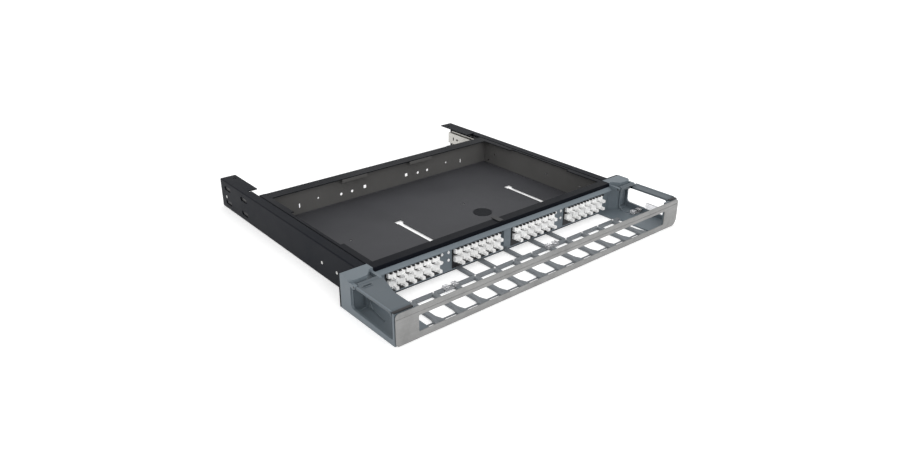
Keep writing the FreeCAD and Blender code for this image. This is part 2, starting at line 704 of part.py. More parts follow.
def tray():
    """Folded tray: floor, side walls with inward flanges, rear wall with a flange behind, tabs in front."""
    body = new_node("tray")
    sketch = new_sketch(body, "XZ_Plane", "front_steel")
    half = [
        (TRAY, "floor_height", "tray_steel"),
        (TRAY, "tray_height", "tray_steel"),
        (TRAY + " - tray_flange", "tray_height"),
        (TRAY + " - tray_flange", "tray_height - tray_steel"),
        (TRAY_INSIDE, "tray_height - tray_steel"),
        (TRAY_INSIDE, "floor_height + tray_steel"),
    ]
    mirrored = [("-(%s)" % point[0],) + point[1:] for point in reversed(half)]
    outline(sketch, half + mirrored)
    pad(sketch, "tray_depth - front_steel")
    # the flanges are narrower along the middle of the walls
    sketch = new_sketch(body, "XY_Plane", "tray_height - tray_steel")
    for side in (-1, 1):
        rectangle(sketch, sided(side, TRAY + " - tray_flange"), "narrow_from",
                  sided(side, TRAY + " - tray_flange_narrow"), "narrow_to")
    cut(sketch, "tray_steel")
    # behind the rear wall the floor stops
    sketch = new_sketch(body, "XY_Plane", "floor_height")
    rectangle(sketch, "-" + TRAY_INSIDE, "rear_wall_at", TRAY_INSIDE, "tray_depth")
    cut(sketch, "tray_steel")
    sketch = new_sketch(body, "YZ_Plane", "-" + TRAY_INSIDE)
    outline(sketch, [
        ("rear_wall_at", "floor_height"),
        ("rear_wall_at", "tray_height - tray_steel"),
        ("tray_depth - tray_steel - seat_gap", "tray_height - tray_steel"),
        ("tray_depth - tray_steel - seat_gap", "tray_height - 2 * tray_steel"),
        ("rear_wall_at + tray_steel", "tray_height - 2 * tray_steel"),
        ("rear_wall_at + tray_steel", "floor_height"),
    ])
    pad(sketch, "2 * " + TRAY_INSIDE)
    # tabs turned up between the adapter blocks
    sketch = new_sketch(body, "XZ_Plane", "front_steel")
    for place in FRONT_TABS:
        half = "separator_half * front_tab_share / 2"
        rectangle(sketch, "%s - %s" % (place, half), "floor_height", "%s + %s" % (place, half), "front_tab_height")
    pad(sketch, "tray_steel")
    sketch = new_sketch(body, "XZ_Plane", "front_steel")
    for place in FRONT_TABS:
        disc(sketch, place, "front_screw_height", "front_screw / 2 + rivet_play")
    cut(sketch, "tray_steel")
    # keyhole slots, small holes and the half-sheared knock-out in the floor
    sketch = new_sketch(body, "XY_Plane", "floor_height")
    for place in TIE_SLOTS:
        edge = "%s %s tie_slot_width / 2"
        outline(sketch, [
            (edge % (place, "-"), "tie_slot_from"), (edge % (place, "+"), "tie_slot_from"),
            (edge % (place, "+"), "tie_slot_to"), (place + " + tie_slot_width", "tie_slot_to"),
            (place + " + tie_slot_width", "tie_slot_to + tie_head_depth"),
            (place + " - tie_head_left", "tie_slot_to + tie_head_depth"),
            (place + " - tie_head_left", "tie_slot_to"), (edge % (place, "-"), "tie_slot_to"),
        ])
    for place in FLOOR_HOLES:
        disc(sketch, place, "floor_hole_at", "floor_hole / 2")
    cut(sketch, "tray_steel")
    sketch = new_sketch(body, "XY_Plane", "floor_height + tray_steel")
    disc(sketch, "knockout_across", "knockout_at", "knockout_size / 2")
    disc(sketch, "knockout_across", "knockout_at", "knockout_size / 2 - knockout_groove")
    cut(sketch, "-tray_steel / 2")
    # the rear wall's round, square and upright holes, in pairs
    sketch = new_sketch(body, "XZ_Plane", "rear_wall_at")
    for sign in (-1, 1):
        for place in WALL_HOLES:
            disc(sketch, sided(sign, place), "wall_hole_height", "wall_hole / 2")
        centred(sketch, sided(sign, "wall_square_across"), "wall_square_height", "wall_square", "wall_square")
        slot(sketch, sided(sign, "wall_slot_across"), "wall_hole_height", "wall_slot_length", "wall_slot_width",
             upright=True)
        disc(sketch, sided(sign, "wall_pilot_across"), "wall_pilot_height", "wall_pilot / 2")
    cut(sketch, "tray_steel")
    # holes in the side walls: the slides' screws and a pair at the rear
    for side in (-1, 1):
        sketch = new_sketch(body, "YZ_Plane", sided(side, TRAY))
        for place in SLIDE_SCREWS:
            disc(sketch, place, SLIDE_MIDDLE, "slide_screw / 2 + rivet_play")
        for level in SIDE_HOLES:
            disc(sketch, "rear_wall_at - side_hole_inset", level, "side_hole / 2")
        cut(sketch, sided(-side, "tray_steel"))


def rear_rail():
    """Strip over the rear rim, folded down behind, with two short tabs in front."""
    body = new_node("rear_rim_rail")
    end = TRAY + " - tray_flange - seat_gap"
    sketch = new_sketch(body, "YZ_Plane", "-(%s)" % end)
    outline(sketch, [
        ("tray_depth - rail_width", "tray_height"),
        ("tray_depth", "tray_height", "tray_steel"),
        ("tray_depth", "rail_drop_to"),
        ("tray_depth - tray_steel", "rail_drop_to"),
        ("tray_depth - tray_steel", "tray_height - tray_steel"),
        ("tray_depth - rail_width", "tray_height - tray_steel"),
    ])
    pad(sketch, "2 * (%s)" % end)
    sketch = new_sketch(body, "XZ_Plane", "tray_depth - rail_width")
    for side in (-1, 1):
        rectangle(sketch, sided(side, "rail_tab_from"), "rail_tab_bottom", sided(side, "rail_tab_to"), "tray_height")
    pad(sketch, "tray_steel")


def front_sheet():
    """Front sheet folded into a hood above and a lip below, open behind each adapter block."""
    body = new_node("front_sheet")
    sketch = new_sketch(body, "YZ_Plane", "-(column_inner - seat_gap)")
    outline(sketch, [
        ("front_steel", "0"), ("front_steel", "tray_height", "front_steel"),
        ("-hood_depth", "tray_height", "front_steel"), ("-hood_depth", "tray_height - hood_drop"),
        ("front_steel - hood_depth", "tray_height - hood_drop"),
        ("front_steel - hood_depth", "tray_height - front_steel"), ("0", "tray_height - front_steel"),
        ("0", "front_steel"), ("-panel_depth", "front_steel"), ("-panel_depth", "0"),
    ])
    pad(sketch, "2 * (column_inner - seat_gap)")
    sketch = new_sketch(body, "XZ_Plane", "0")
    rectangle(sketch, "-rack_width / 2", "sheet_bottom", "rack_width / 2", "tray_height")
    pad(sketch, "front_steel")
    sketch = new_sketch(body, "XZ_Plane", "0")
    for place in GROUPS:
        rectangle(sketch, place + " - (%s + opening_play)" % BLOCK_HALF, "block_bottom - opening_play",
                  place + " + (%s + opening_play)" % BLOCK_HALF, "block_top + opening_play")
    for place in FRONT_TABS:
        disc(sketch, place, "front_screw_height", "front_screw / 2 + rivet_play")
    for side in (-1, 1):
        for level in GUIDE_SCREWS:
            disc(sketch, sided(side, "guide_screw_at"), level, "front_screw / 2 + rivet_play")
    cut(sketch, "front_steel")


def front_panel():
    """Grey moulding round the adapter blocks, with a sloping top rail, a centre post and hollow separators."""
    body = new_node("front_panel_moulding")
    top = "(tray_height - hood_drop - seat_gap)"
    sketch = new_sketch(body, "YZ_Plane", "-(column_inner - seat_gap)")
    outline(sketch, [
        ("0", "front_steel"), ("0", top), ("-hood_depth", top, "rail_round"),
        ("-rail_reach", "rail_edge", "rail_nose"), ("-rail_reach", "block_top + opening_play"),
        ("-panel_depth", "block_top + opening_play"), ("-panel_depth", "front_steel"),
    ])
    pad(sketch, "2 * (column_inner - seat_gap)")
    sketch = new_sketch(body, "XZ_Plane", "-panel_depth")
    rectangle(sketch, "-separator_half * post_share", "post_bottom", "separator_half * post_share",
              "block_top + opening_play")
    pad(sketch, "-post_reach")
    sketch = new_sketch(body, "XZ_Plane", "0")
    for place in GROUPS:
        rectangle(sketch, place + " - (%s + opening_play)" % BLOCK_HALF, "block_bottom - opening_play",
                  place + " + (%s + opening_play)" % BLOCK_HALF, "block_top + opening_play")
    cut(sketch, "-panel_depth")
    sketch = new_sketch(body, "XZ_Plane", "0")
    for place in ("-group_pitch", "0", "group_pitch"):
        half = "(separator_half - opening_play - guide_wall)"
        rectangle(sketch, place + " - " + half, "front_steel + guide_wall", place + " + " + half, "block_top")
    cut(sketch, "guide_wall - panel_depth")
    sketch = new_sketch(body, "XZ_Plane", "-panel_depth")
    for place, level in snap_places():
        disc(sketch, place, level, "snap_size / 2 + rivet_play")
    cut(sketch, "guide_wall")


def snap_places():
    """The snap rivets: two columns on the separators between the outer pairs of blocks."""
    return [("%d * group_pitch %s separator_half / 2" % (side, sign), level)
            for side in (-1, 1) for sign in "-+" for level in SNAP_LEVELS]


def snap_rivets():
    """White push-in rivets with small round heads."""
    body = new_node("panel_snap_rivets")
    sketch = new_sketch(body, "XZ_Plane", "-panel_depth")
    for place, level in snap_places():
        disc(sketch, place, level, "snap_size * 0.8")
    pad(sketch, "-snap_head")
    sketch = new_sketch(body, "XZ_Plane", "-panel_depth")
    for place, level in snap_places():
        disc(sketch, place, level, "snap_size / 2")
    pad(sketch, "guide_wall")


def first_units(group):
    """Middles of a group's first adapters, at the left end of both rows, across and up."""
    across = "(%s - (adapters_across - 1) / 2 * adapter_pitch)" % group
    return [(across, "(row_middle %s row_pitch / 2)" % sign) for sign in "-+"]


def centred(sketch, across, up, width, height):
    """A rectangle about its middle."""
    rectangle(sketch, "%s - (%s) / 2" % (across, width), "%s - (%s) / 2" % (up, height),
              "%s + (%s) / 2" % (across, width), "%s + (%s) / 2" % (up, height))


def adapter_block(number, group):
    """Black block with an opening for each adapter and a comb of slanted teeth over the upper row."""
    body = new_node("adapter_block_%d" % number)
    sketch = new_sketch(body, "XZ_Plane", "-block_front")
    rectangle(sketch, "%s - %s" % (group, BLOCK_HALF), "block_bottom", "%s + %s" % (group, BLOCK_HALF), "block_top")
    pad(sketch, "block_front + block_rear")
    sketch = new_sketch(body, "XZ_Plane", "-block_front")
    for across, up in first_units(group):
        centred(sketch, across, up, "adapter_width + 2 * adapter_play", "adapter_height + 2 * adapter_play")
    row_of(cut(sketch, "block_front + block_rear"), "adapter_pitch", "adapters_across")
    sketch = new_sketch(body, "XZ_Plane", "-block_front")
    base = "%s - %s" % (group, BLOCK_HALF)
    outline(sketch, [
        (base + " + tooth_inset", "block_top"),
        (base + " + tooth_inset + tooth_slant", "block_top - tooth_height"),
        (base + " + tooth_inset + tooth_slant + tooth_width", "block_top - tooth_height"),
        (base + " + tooth_inset + tooth_width", "block_top"),
    ])
    tooth = pad(sketch, "-tooth_reach")
    row_of(tooth, "adapter_pitch / 2", "2 * adapters_across")


def lc_adapters(number, group):
    """Duplex adapters, each with two cavities in front and two behind."""
    body = new_node("lc_adapters_%d" % number)
    sketch = new_sketch(body, "XZ_Plane", "-block_front")
    for across, up in first_units(group):
        centred(sketch, across, up, "adapter_width", "adapter_height")
    pad(sketch, "adapter_length")
    for start, depth in (("-block_front", "cavity_depth"), ("adapter_length - block_front", "-cavity_depth")):
        sketch = new_sketch(body, "XZ_Plane", start)
        for across, up in first_units(group):
            for sign in "-+":
                centred(sketch, "%s %s port_pitch / 2" % (across, sign), up, "port_size", "port_size")
        cavities = cut(sketch, depth)
    whole_row(cavities)


def dust_caps(number, group):
    """White duplex caps: a face with a notch, a grip tab in front and two plugs in the adapter."""
    body = new_node("dust_caps_%d" % number)
    face = "(block_front + seat_gap)"
    sketch = new_sketch(body, "XZ_Plane", "-" + face)
    for across, up in first_units(group):
        left = "%s - cap_width / 2" % across
        right = "%s + cap_width / 2" % across
        bottom = "%s - cap_height / 2" % up
        top = "%s + cap_height / 2" % up
        outline(sketch, [
            (left, top), (left, bottom + " + cap_notch"), (left + " + cap_width * 0.4", bottom + " + cap_notch"),
            (left + " + cap_width * 0.4", bottom), (right, bottom), (right, top),
        ])
    pad(sketch, "-cap_thickness")
    sketch = new_sketch(body, "XZ_Plane", "-(%s + cap_thickness)" % face)
    for across, up in first_units(group):
        centred(sketch, across + " + cap_width * 0.25", up + " - cap_height * 0.35", "grip_width", "grip_height")
    pad(sketch, "-grip_reach")
    sketch = new_sketch(body, "XZ_Plane", "-" + face)
    for across, up in first_units(group):
        for sign in "-+":
            centred(sketch, "%s %s port_pitch / 2" % (across, sign), up, "port_size - 2 * adapter_play",
                    "port_size - 2 * adapter_play")
    whole_row(pad(sketch, "cap_plug"))


def lattice():
    """Lattice floor in front: five ribs, a cross beam and a row of bays whose ribs sweep up to the bezel."""
    body = new_node("lattice_floor")
    sketch = new_sketch(body, "YZ_Plane", "-(floor_inner - seat_gap)")
    outline(sketch, [
        ("-beam_rear", "0"), ("-beam_rear", "lattice_height"), ("-bay_front", "lattice_height", "sweep"),
        (BEZEL_BACK + " + lattice_lip", "window_bottom"), (BEZEL_BACK, "window_bottom"), (BEZEL_BACK, "0"),
    ])
    pad(sketch, "2 * (floor_inner - seat_gap)")
    # bays: a low cross bar is left in front of each, with a slit between it and the front wall
    first = "-(bays_across - 1) / 2 * bay_pitch"
    for level, front, rear in (("bar_height", BEZEL_BACK + " + 1", "-beam_front"),
                               ("0", "-bay_front", "-beam_front"),
                               ("0", BEZEL_BACK + " + 1", "-bay_front - bay_bar")):
        sketch = new_sketch(body, "XY_Plane", level)
        rectangle(sketch, first + " - bay_width / 2", front, first + " + bay_width / 2", rear)
        bay = cut(sketch, "window_bottom")
        row_of(bay, "bay_pitch", "bays_across")
        sketch = new_sketch(body, "XY_Plane", level)
        for side in (-1, 1):
            rectangle(sketch, sided(side, "end_bay_from"), front, sided(side, "floor_inner - seat_gap"), rear)
        cut(sketch, "window_bottom")
    # a groove along the middle of each swept rib
    sketch = new_sketch(body, "XY_Plane", "lattice_height - groove_depth")
    across = "-bays_across / 2 * bay_pitch"
    rectangle(sketch, across + " - groove_width / 2", BEZEL_BACK + " + lattice_lip", across + " + groove_width / 2",
              "-beam_front - 2")
    groove = cut(sketch, "window_bottom")
    row_of(groove, "bay_pitch", "bays_across + 1")
    sketch = new_sketch(body, "XY_Plane", "0")
    for place in RIBS:
        rectangle(sketch, place + " - rib_width / 2", "-beam_rear", place + " + rib_width / 2", "-panel_depth")
    pad(sketch, "lattice_height")


def end_guide(name, side):
    """End guide: column with a curved face, floor, outer wall round the side opening and post behind the bezel."""
    body = new_node(name + "_end_guide")
    edge = sided(side, "rack_width / 2")
    inner = sided(side, "column_inner")
    sketch = new_sketch(body, "XY_Plane", "0")
    outline(sketch, [
        (edge, "0"), (inner, "0"), (inner, "-panel_depth - seat_gap"),
        (sided(side, "guide_floor_inner"), "-panel_depth - seat_gap"),
        (sided(side, "guide_floor_inner"), "-beam_rear"), (sided(side, "floor_inner"), "-beam_rear"),
        (sided(side, "floor_inner"), BEZEL_BACK), (edge, BEZEL_BACK),
    ])
    pad(sketch, "guide_floor")
    # the column, its face curving from the panel out to the side
    sketch = new_sketch(body, "XY_Plane", "0")
    outline(sketch, [
        (inner, "0"), (edge, "0"), (edge, "-column_depth", "column_round"),
        (sided(side, "column_inner + face_to"), "face_rake - column_depth", "column_round"),
        (sided(side, "column_inner + face_from"), "-panel_depth - seat_gap", "column_round / 2"),
        (inner, "-panel_depth - seat_gap"),
    ])
    pad(sketch, "column_height")
    # the outer wall, low along the side opening
    sketch = new_sketch(body, "YZ_Plane", sided(side, "rack_width / 2 - guide_wall"))
    behind = "guide_wall - column_depth"
    outline(sketch, [
        ("-front_steel", "0"), (BEZEL_BACK, "0"), (BEZEL_BACK, "bezel_top - seat_gap"),
        (BEZEL_BACK + " + guide_wall", "bezel_top - seat_gap"),
        (BEZEL_BACK + " + guide_wall", "sill_height - sill_fall", "guide_wall"), (behind, "sill_height", "sill_round"),
        (behind, "bracket_height - wall_drop"), ("-front_steel", "bracket_height - wall_drop"),
    ])
    pad(sketch, sided(side, "guide_wall"))
    # the post behind the bezel's end
    sketch = new_sketch(body, "XZ_Plane", BEZEL_BACK)
    rectangle(sketch, sided(side, "window_half + guide_wall"), "0", edge, "bezel_top - seat_gap")
    pad(sketch, "guide_wall * 0.8")
    # the recess in the column's face
    sketch = new_sketch(body, "XZ_Plane", "-column_depth - 1")
    rectangle(sketch, sided(side, "column_inner + recess_from"), "2 * guide_floor",
              sided(side, "rack_width / 2 - guide_wall"), "arm_top - 2 * arm_thickness", "guide_wall / 2")
    cut(sketch, "column_recess + 1")
    # lugs for the arm's hinge pin
    for low, high in LUGS:
        sketch = new_sketch(body, "YZ_Plane", sided(side, low))
        outline(sketch, [
            ("-panel_depth", "hinge_height + lug_half"), ("-panel_depth", "hinge_height - lug_half"),
            ("-hinge_at - lug_half", "hinge_height - lug_half", "lug_half * 0.98"),
            ("-hinge_at - lug_half", "hinge_height + lug_half", "lug_half * 0.98"),
        ])
        pad(sketch, sided(side, "%s - (%s)" % (high, low)))
    sketch = new_sketch(body, "YZ_Plane", sided(side, LUGS[0][0]))
    disc(sketch, "-hinge_at", "hinge_height", "hinge_pin / 2 + pin_play")
    cut(sketch, sided(side, "rack_width / 2 - (%s)" % LUGS[0][0]))
    sketch = new_sketch(body, "XZ_Plane", "0")
    for level in GUIDE_SCREWS:
        disc(sketch, sided(side, "guide_screw_at"), level, "front_screw / 2 + rivet_play")
    cut(sketch, "-guide_screw_depth - 1")


def gate_arm(name, side):
    """Arm over the side opening: a plate with a turned-down tip, hinged behind on its barrel."""
    body = new_node(name + "_gate_arm")
    edge = sided(side, "rack_width / 2")
    start = sided(side, "arm_inner_rear")
    sketch = new_sketch(body, "YZ_Plane", start)
    outline(sketch, [
        ("-arm_rear", "arm_top"), ("-arm_rear", "arm_top - arm_thickness"),
        ("arm_thickness - arm_tip", "arm_top - arm_thickness", "arm_thickness"),
        ("arm_thickness - arm_tip", "arm_top - tip_drop"), ("-arm_tip", "arm_top - tip_drop"),
        ("-arm_tip", "arm_top", "2 * arm_thickness"),
    ])
    pad(sketch, sided(side, "rack_width / 2 - arm_inner_rear"))
    # the inner edge runs outward towards the tip
    sketch = new_sketch(body, "XY_Plane", "arm_top - tip_drop")
    outline(sketch, [
        (start, "-arm_rear - 2"), (sided(side, "arm_inner_front"), "-arm_waist"),
        (sided(side, "arm_inner_front"), "-arm_tip"), (start, "-arm_tip"),
    ])
    cut(sketch, "tip_drop")
    # the barrel and the strap that joins it to the plate
    low, high = BARREL
    sketch = new_sketch(body, "YZ_Plane", sided(side, low))
    disc(sketch, "-hinge_at", "hinge_height", "barrel / 2")
    pad(sketch, sided(side, "%s - (%s)" % (high, low)))
    sketch = new_sketch(body, "XY_Plane", "arm_top - arm_thickness")
    rectangle(sketch, sided(side, low), "-hinge_at", sided(side, high), "-arm_rear - 1")
    pad(sketch, "arm_thickness")
    sketch = new_sketch(body, "YZ_Plane", sided(side, low))
    disc(sketch, "-hinge_at", "hinge_height", "hinge_pin / 2 + hinge_play")
    cut(sketch, sided(side, "%s - (%s)" % (high, low)))
    # a low boss with a slot through it, over the hinge
    sketch = new_sketch(body, "XY_Plane", "arm_top")
    slot(sketch, sided(side, "arm_slot_at"), "-arm_slot_back", "arm_slot_length + arm_slot_width", "arm_boss_width")
    pad(sketch, "arm_boss_height")
    sketch = new_sketch(body, "XY_Plane", "arm_top - arm_thickness")
    slot(sketch, sided(side, "arm_slot_at"), "-arm_slot_back", "arm_slot_length", "arm_slot_width")
    cut(sketch, "arm_thickness + arm_boss_height")


def hinge_pin(name, side):
    """Steel pin through the lugs and the barrel."""
    body = new_node(name + "_hinge_pin")
    sketch = new_sketch(body, "YZ_Plane", sided(side, LUGS[0][0]))
    disc(sketch, "-hinge_at", "hinge_height", "hinge_pin / 2")
    pad(sketch, sided(side, "rack_width / 2 - (%s) - seat_gap" % LUGS[0][0]))


def bezel():
    """Front plate with rounded corners round one long window; one lower corner is rounder."""
    body = new_node("bezel")
    sketch = new_sketch(body, "XZ_Plane", BEZEL_BACK)
    outline(sketch, [
        ("-rack_width / 2", "bezel_bottom", "bezel_round"), ("rack_width / 2", "bezel_bottom", "bezel_large_round"),
        ("rack_width / 2", "bezel_top", "bezel_round"), ("-rack_width / 2", "bezel_top", "bezel_round"),
    ])
    pad(sketch, "-bezel_thickness")
    sketch = new_sketch(body, "XZ_Plane", BEZEL_BACK)
    rectangle(sketch, "-window_half", "window_bottom", "window_half", "window_top", "window_round")
    cut(sketch, "-bezel_thickness")


def cable_clips():
    """Clear open clips, on the lattice beam and on the right guide's floor."""
    body = new_node("cable_clips")
    places = [(place, "lattice_height") for place in LATTICE_CLIPS]
    for place, level in places + [("(rack_width / 2 - clip_inset)", "guide_floor")]:
        left = place + " - clip_half"
        right = place + " + clip_half"
        top = level + " + clip_height"
        sketch = new_sketch(body, "XZ_Plane", "-beam_front + clip_play")
        outline(sketch, [
            (left, level), (right, level), (right, top), (place + " + clip_mouth", top),
            (place + " + clip_mouth", top + " - clip_wall"), (right + " - clip_wall", top + " - clip_wall"),
            (right + " - clip_wall", level + " + clip_wall"), (left + " + clip_wall", level + " + clip_wall"),
            (left + " + clip_wall", top + " - clip_wall"), (place + " - clip_mouth", top + " - clip_wall"),
            (place + " - clip_mouth", top), (left, top),
        ])
        pad(sketch, "beam_front - beam_rear - 2 * clip_play")


def sill_tab():
    """Clear tab standing on the right sill."""
    body = new_node("sill_tab")
    sketch = new_sketch(body, "YZ_Plane", "rack_width / 2 - guide_wall * 5 / 6")
    outline(sketch, [
        ("-sill_tab_to", "sill_tab_bottom"), ("-sill_tab_to", "sill_tab_top", "sill_tab_round"),
        ("-sill_tab_from", "sill_tab_top", "sill_tab_round"), ("-sill_tab_from", "sill_tab_bottom"),
    ])
    pad(sketch, "guide_wall * 2 / 3")


def centre_snap():
    """Small black snap on the hood that reaches back over the tray."""
    body = new_node("centre_snap")
    sketch = new_sketch(body, "XY_Plane", "tray_height")
    rectangle(sketch, "-snap_left", "snap_right - hood_depth", "-snap_right", "snap_behind", "snap_right")
    pad(sketch, "snap_thickness")


def tray_front_screws():
    """Screws that hold the tray's front tabs to the front sheet."""
    body = new_node("tray_front_screws")
    for radius, start, length in (("front_screw / 2", "0", "front_steel + tray_steel"),
                                  ("front_screw * 0.9", "front_steel + tray_steel", "screw_head")):
        sketch = new_sketch(body, "XZ_Plane", start)
        for place in FRONT_TABS:
            disc(sketch, place, "front_screw_height", radius)
        pad(sketch, length)


def guide_screws():
    """Screws from behind the front sheet into the end guides."""
    body = new_node("end_guide_screws")
    for radius, start, length in (("front_screw / 2", "front_steel", "-front_steel - guide_screw_depth"),
                                  ("front_screw * 0.9", "front_steel", "screw_head")):
        sketch = new_sketch(body, "XZ_Plane", start)
        for side in (-1, 1):
            for level in GUIDE_SCREWS:
                disc(sketch, sided(side, "guide_screw_at"), level, radius)
        pad(sketch, length)


for name, side in SIDES:
    side_bracket(name, side)
    outer_member(name, side)
    slide_rivets(name, side)
    middle_member(name, side)
    cage(name, side, "outer", "outer_cage_web", OUTER_BALL)
    cage_balls(name, side, "outer", OUTER_BALL)
    cage(name, side, "inner", "inner_cage_web", INNER_BALL)
    cage_balls(name, side, "inner", INNER_BALL)
    inner_member(name, side)
    slide_screws(name, side)
    end_guide(name, side)
    gate_arm(name, side)
    hinge_pin(name, side)
tray()
rear_rail()
front_sheet()
front_panel()
snap_rivets()
for number, group in enumerate(GROUPS, 1):
    adapter_block(number, group)
    lc_adapters(number, group)
    dust_caps(number, group)
lattice()
bezel()
cable_clips()
sill_tab()
centre_snap()
tray_front_screws()
guide_screws()

doc.recompute()
for thing in doc.Objects:
    if "Invalid" in thing.State or "Error" in thing.State:
        raise ValueError("%s failed: %s" % (thing.Label, thing.State))
for body in nodes:
    if body.Shape.isNull() or not body.Shape.isValid():
        raise ValueError("%s has no valid shape" % body.Label)
os.makedirs("parts", exist_ok=True)
for body in nodes:
    body.Shape.exportStep("parts/%s.step" % body.Label)
    box = body.Shape.BoundBox
    print("%-26s %3d solids %10.1f mm3  x %.1f %.1f  y %.1f %.1f  z %.1f %.1f"
          % (body.Label, len(body.Shape.Solids), body.Shape.Volume, box.XMin, box.XMax, box.YMin, box.YMax,
             box.ZMin, box.ZMax))
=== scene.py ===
"""Looks of the sliding fibre patch drawer: finishes, small fittings, light and camera."""
import math

import bpy
from mathutils import Euler, Matrix, Vector


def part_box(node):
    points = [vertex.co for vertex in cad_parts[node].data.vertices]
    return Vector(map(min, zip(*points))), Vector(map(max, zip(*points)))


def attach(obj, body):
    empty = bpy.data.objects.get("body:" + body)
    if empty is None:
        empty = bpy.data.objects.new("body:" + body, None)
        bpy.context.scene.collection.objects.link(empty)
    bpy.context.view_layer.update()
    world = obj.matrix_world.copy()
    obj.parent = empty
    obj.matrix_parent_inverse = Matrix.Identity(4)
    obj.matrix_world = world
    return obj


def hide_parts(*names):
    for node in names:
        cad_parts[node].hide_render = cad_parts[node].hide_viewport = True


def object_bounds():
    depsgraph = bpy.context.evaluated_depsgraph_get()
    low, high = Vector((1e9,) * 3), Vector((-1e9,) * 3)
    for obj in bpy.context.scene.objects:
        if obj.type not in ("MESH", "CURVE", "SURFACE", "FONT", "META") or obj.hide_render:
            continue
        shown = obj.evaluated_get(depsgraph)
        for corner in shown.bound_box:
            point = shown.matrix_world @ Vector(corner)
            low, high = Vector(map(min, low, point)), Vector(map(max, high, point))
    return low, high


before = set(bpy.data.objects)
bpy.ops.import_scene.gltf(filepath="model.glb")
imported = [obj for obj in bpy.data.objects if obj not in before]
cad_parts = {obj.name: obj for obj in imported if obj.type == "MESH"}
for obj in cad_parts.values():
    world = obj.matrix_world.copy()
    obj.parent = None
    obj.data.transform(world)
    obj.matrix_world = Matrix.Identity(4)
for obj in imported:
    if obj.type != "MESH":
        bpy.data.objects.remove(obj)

bl_info = {
    "name": "Fibre patch drawer",
    "version": (1, 0, 0),
    "blender": (4, 5, 0),
    "location": "3D View > Sidebar > Drawer",
    "description": "Finishes and small fittings of a sliding fibre patch drawer",
    "category": "Object",
}

CAD_BOX = [list(corner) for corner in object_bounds()]
SIDES = ("left", "right")

# the camera that the photograph was taken with
CAMERA_PLACE = (-0.60452, -0.63578, 0.41024)
CAMERA_TURN = math.radians(-39.517)
CAMERA_PITCH = math.radians(24.604)
CAMERA_LENS = 29.5
CAMERA_SENSOR = 36

# the round knock-out in the tray's floor, which painted shade darkens, and the width of its soft edge
KNOCKOUT_PLACE = (0.057, 0.092, 0)
KNOCKOUT_RADIUS = 0.0134
KNOCKOUT_EDGE = 0.0002

# heights over which the tray's colour changes: the top of the knock-out's painted shade, then from the
# floor's coat to the painted light on the walls, then to the painted dark reflection on the rims
KNOCKOUT_TOP = (-0.018, -0.017)
FLOOR_TO_PAINTED_WALL_LIGHT = (-0.0185, -0.0165)
WALL_TO_PAINTED_RIM_REFLECTION = (0.0203, 0.0206)

# dust on the powder coat, and how much of it shows
DUST_COLOUR = (0.3, 0.3, 0.3, 1)
DUST_SHARE = 0.35

# depths of the finishes' relief
SKIN_DEPTH = 0.00003
CLEAR_DEPTH = 0.00002
FINE_DEPTH = 0.00001
CERAMIC_DEPTH = 0.000005

# ribs behind the lattice's beam: their middles, and how far their tops stay below the beam's
REAR_RIBS = (-0.08, -0.045, 0, 0.045, 0.08)
REAR_RIB_DROP = 0.0001

# ribs in front of the beam: numbers from the left, cuts along each, and where they start
FRONT_RIBS = range(-6, 6)
RIB_STRIPS = 20
RIB_START = 0.0005

# groups of adapters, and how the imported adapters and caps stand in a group
GROUPS = range(1, 5)
ADAPTERS_ACROSS = 6
ADAPTER_PITCH = 0.0128
ADAPTER_ROWS = 0.0085
PORT_ACROSS = 0.0028
PORT_BACK = 0.007
TEETH = 12

# screws behind the front sheet
TRAY_SCREWS = (-0.196, -0.1, 0, 0.1, 0.196)
GUIDE_SCREWS = (-0.212, 0.212)
GUIDE_SCREW_ROWS = (0, 0.024)

# middle of a separator, and the rivets' distances from its highest one
SEPARATOR_ACROSS = 0.1
RIVET_DROPS = (0, 0.0038, 0.0143)

# how a black tip and a rim sit on their gate arm
TIP_INSET = 0.0006
TIP_NARROWING = 0.001
TIP_DOWN = 0.0012
TIP_GAP = 0.0005
TIP_OVERLAP = 0.0006
RIM_SHORT = 0.001
SHOULDER_LENGTH = 0.002

# a domed head's steps: inset and rise as shares of its radius and height
HEAD_STEPS = ((0.22, 0.32), (0.34, 0.18))

# how far joined pieces reach into each other, how far cutters stand out, and the floor's gap
OVERLAP = 0.0005
PAD_OVERLAP = 0.0002
CUTTER_REACH = 0.01
FLOOR_GAP = 0.0002

SMOOTH_ANGLE = math.radians(35)


def paint(description, default):
    """A colour that the user may change."""
    return bpy.props.FloatVectorProperty(description=description, subtype="COLOR", size=3,
                                         min=0, max=1, default=default)


def length(description, default):
    """A length in metres that the user may change."""
    return bpy.props.FloatProperty(description=description, unit="LENGTH", subtype="DISTANCE",
                                   precision=5, default=default)


def ratio(description, default):
    """A factor that the user may change."""
    return bpy.props.FloatProperty(description=description, min=0.5, max=2, default=default)


def titled(group):
    """Gives each setting of the group a title made from its own name."""
    for name, setting in group.__annotations__.items():
        setting.keywords["name"] = name.replace("_", " ").capitalize()
    return group


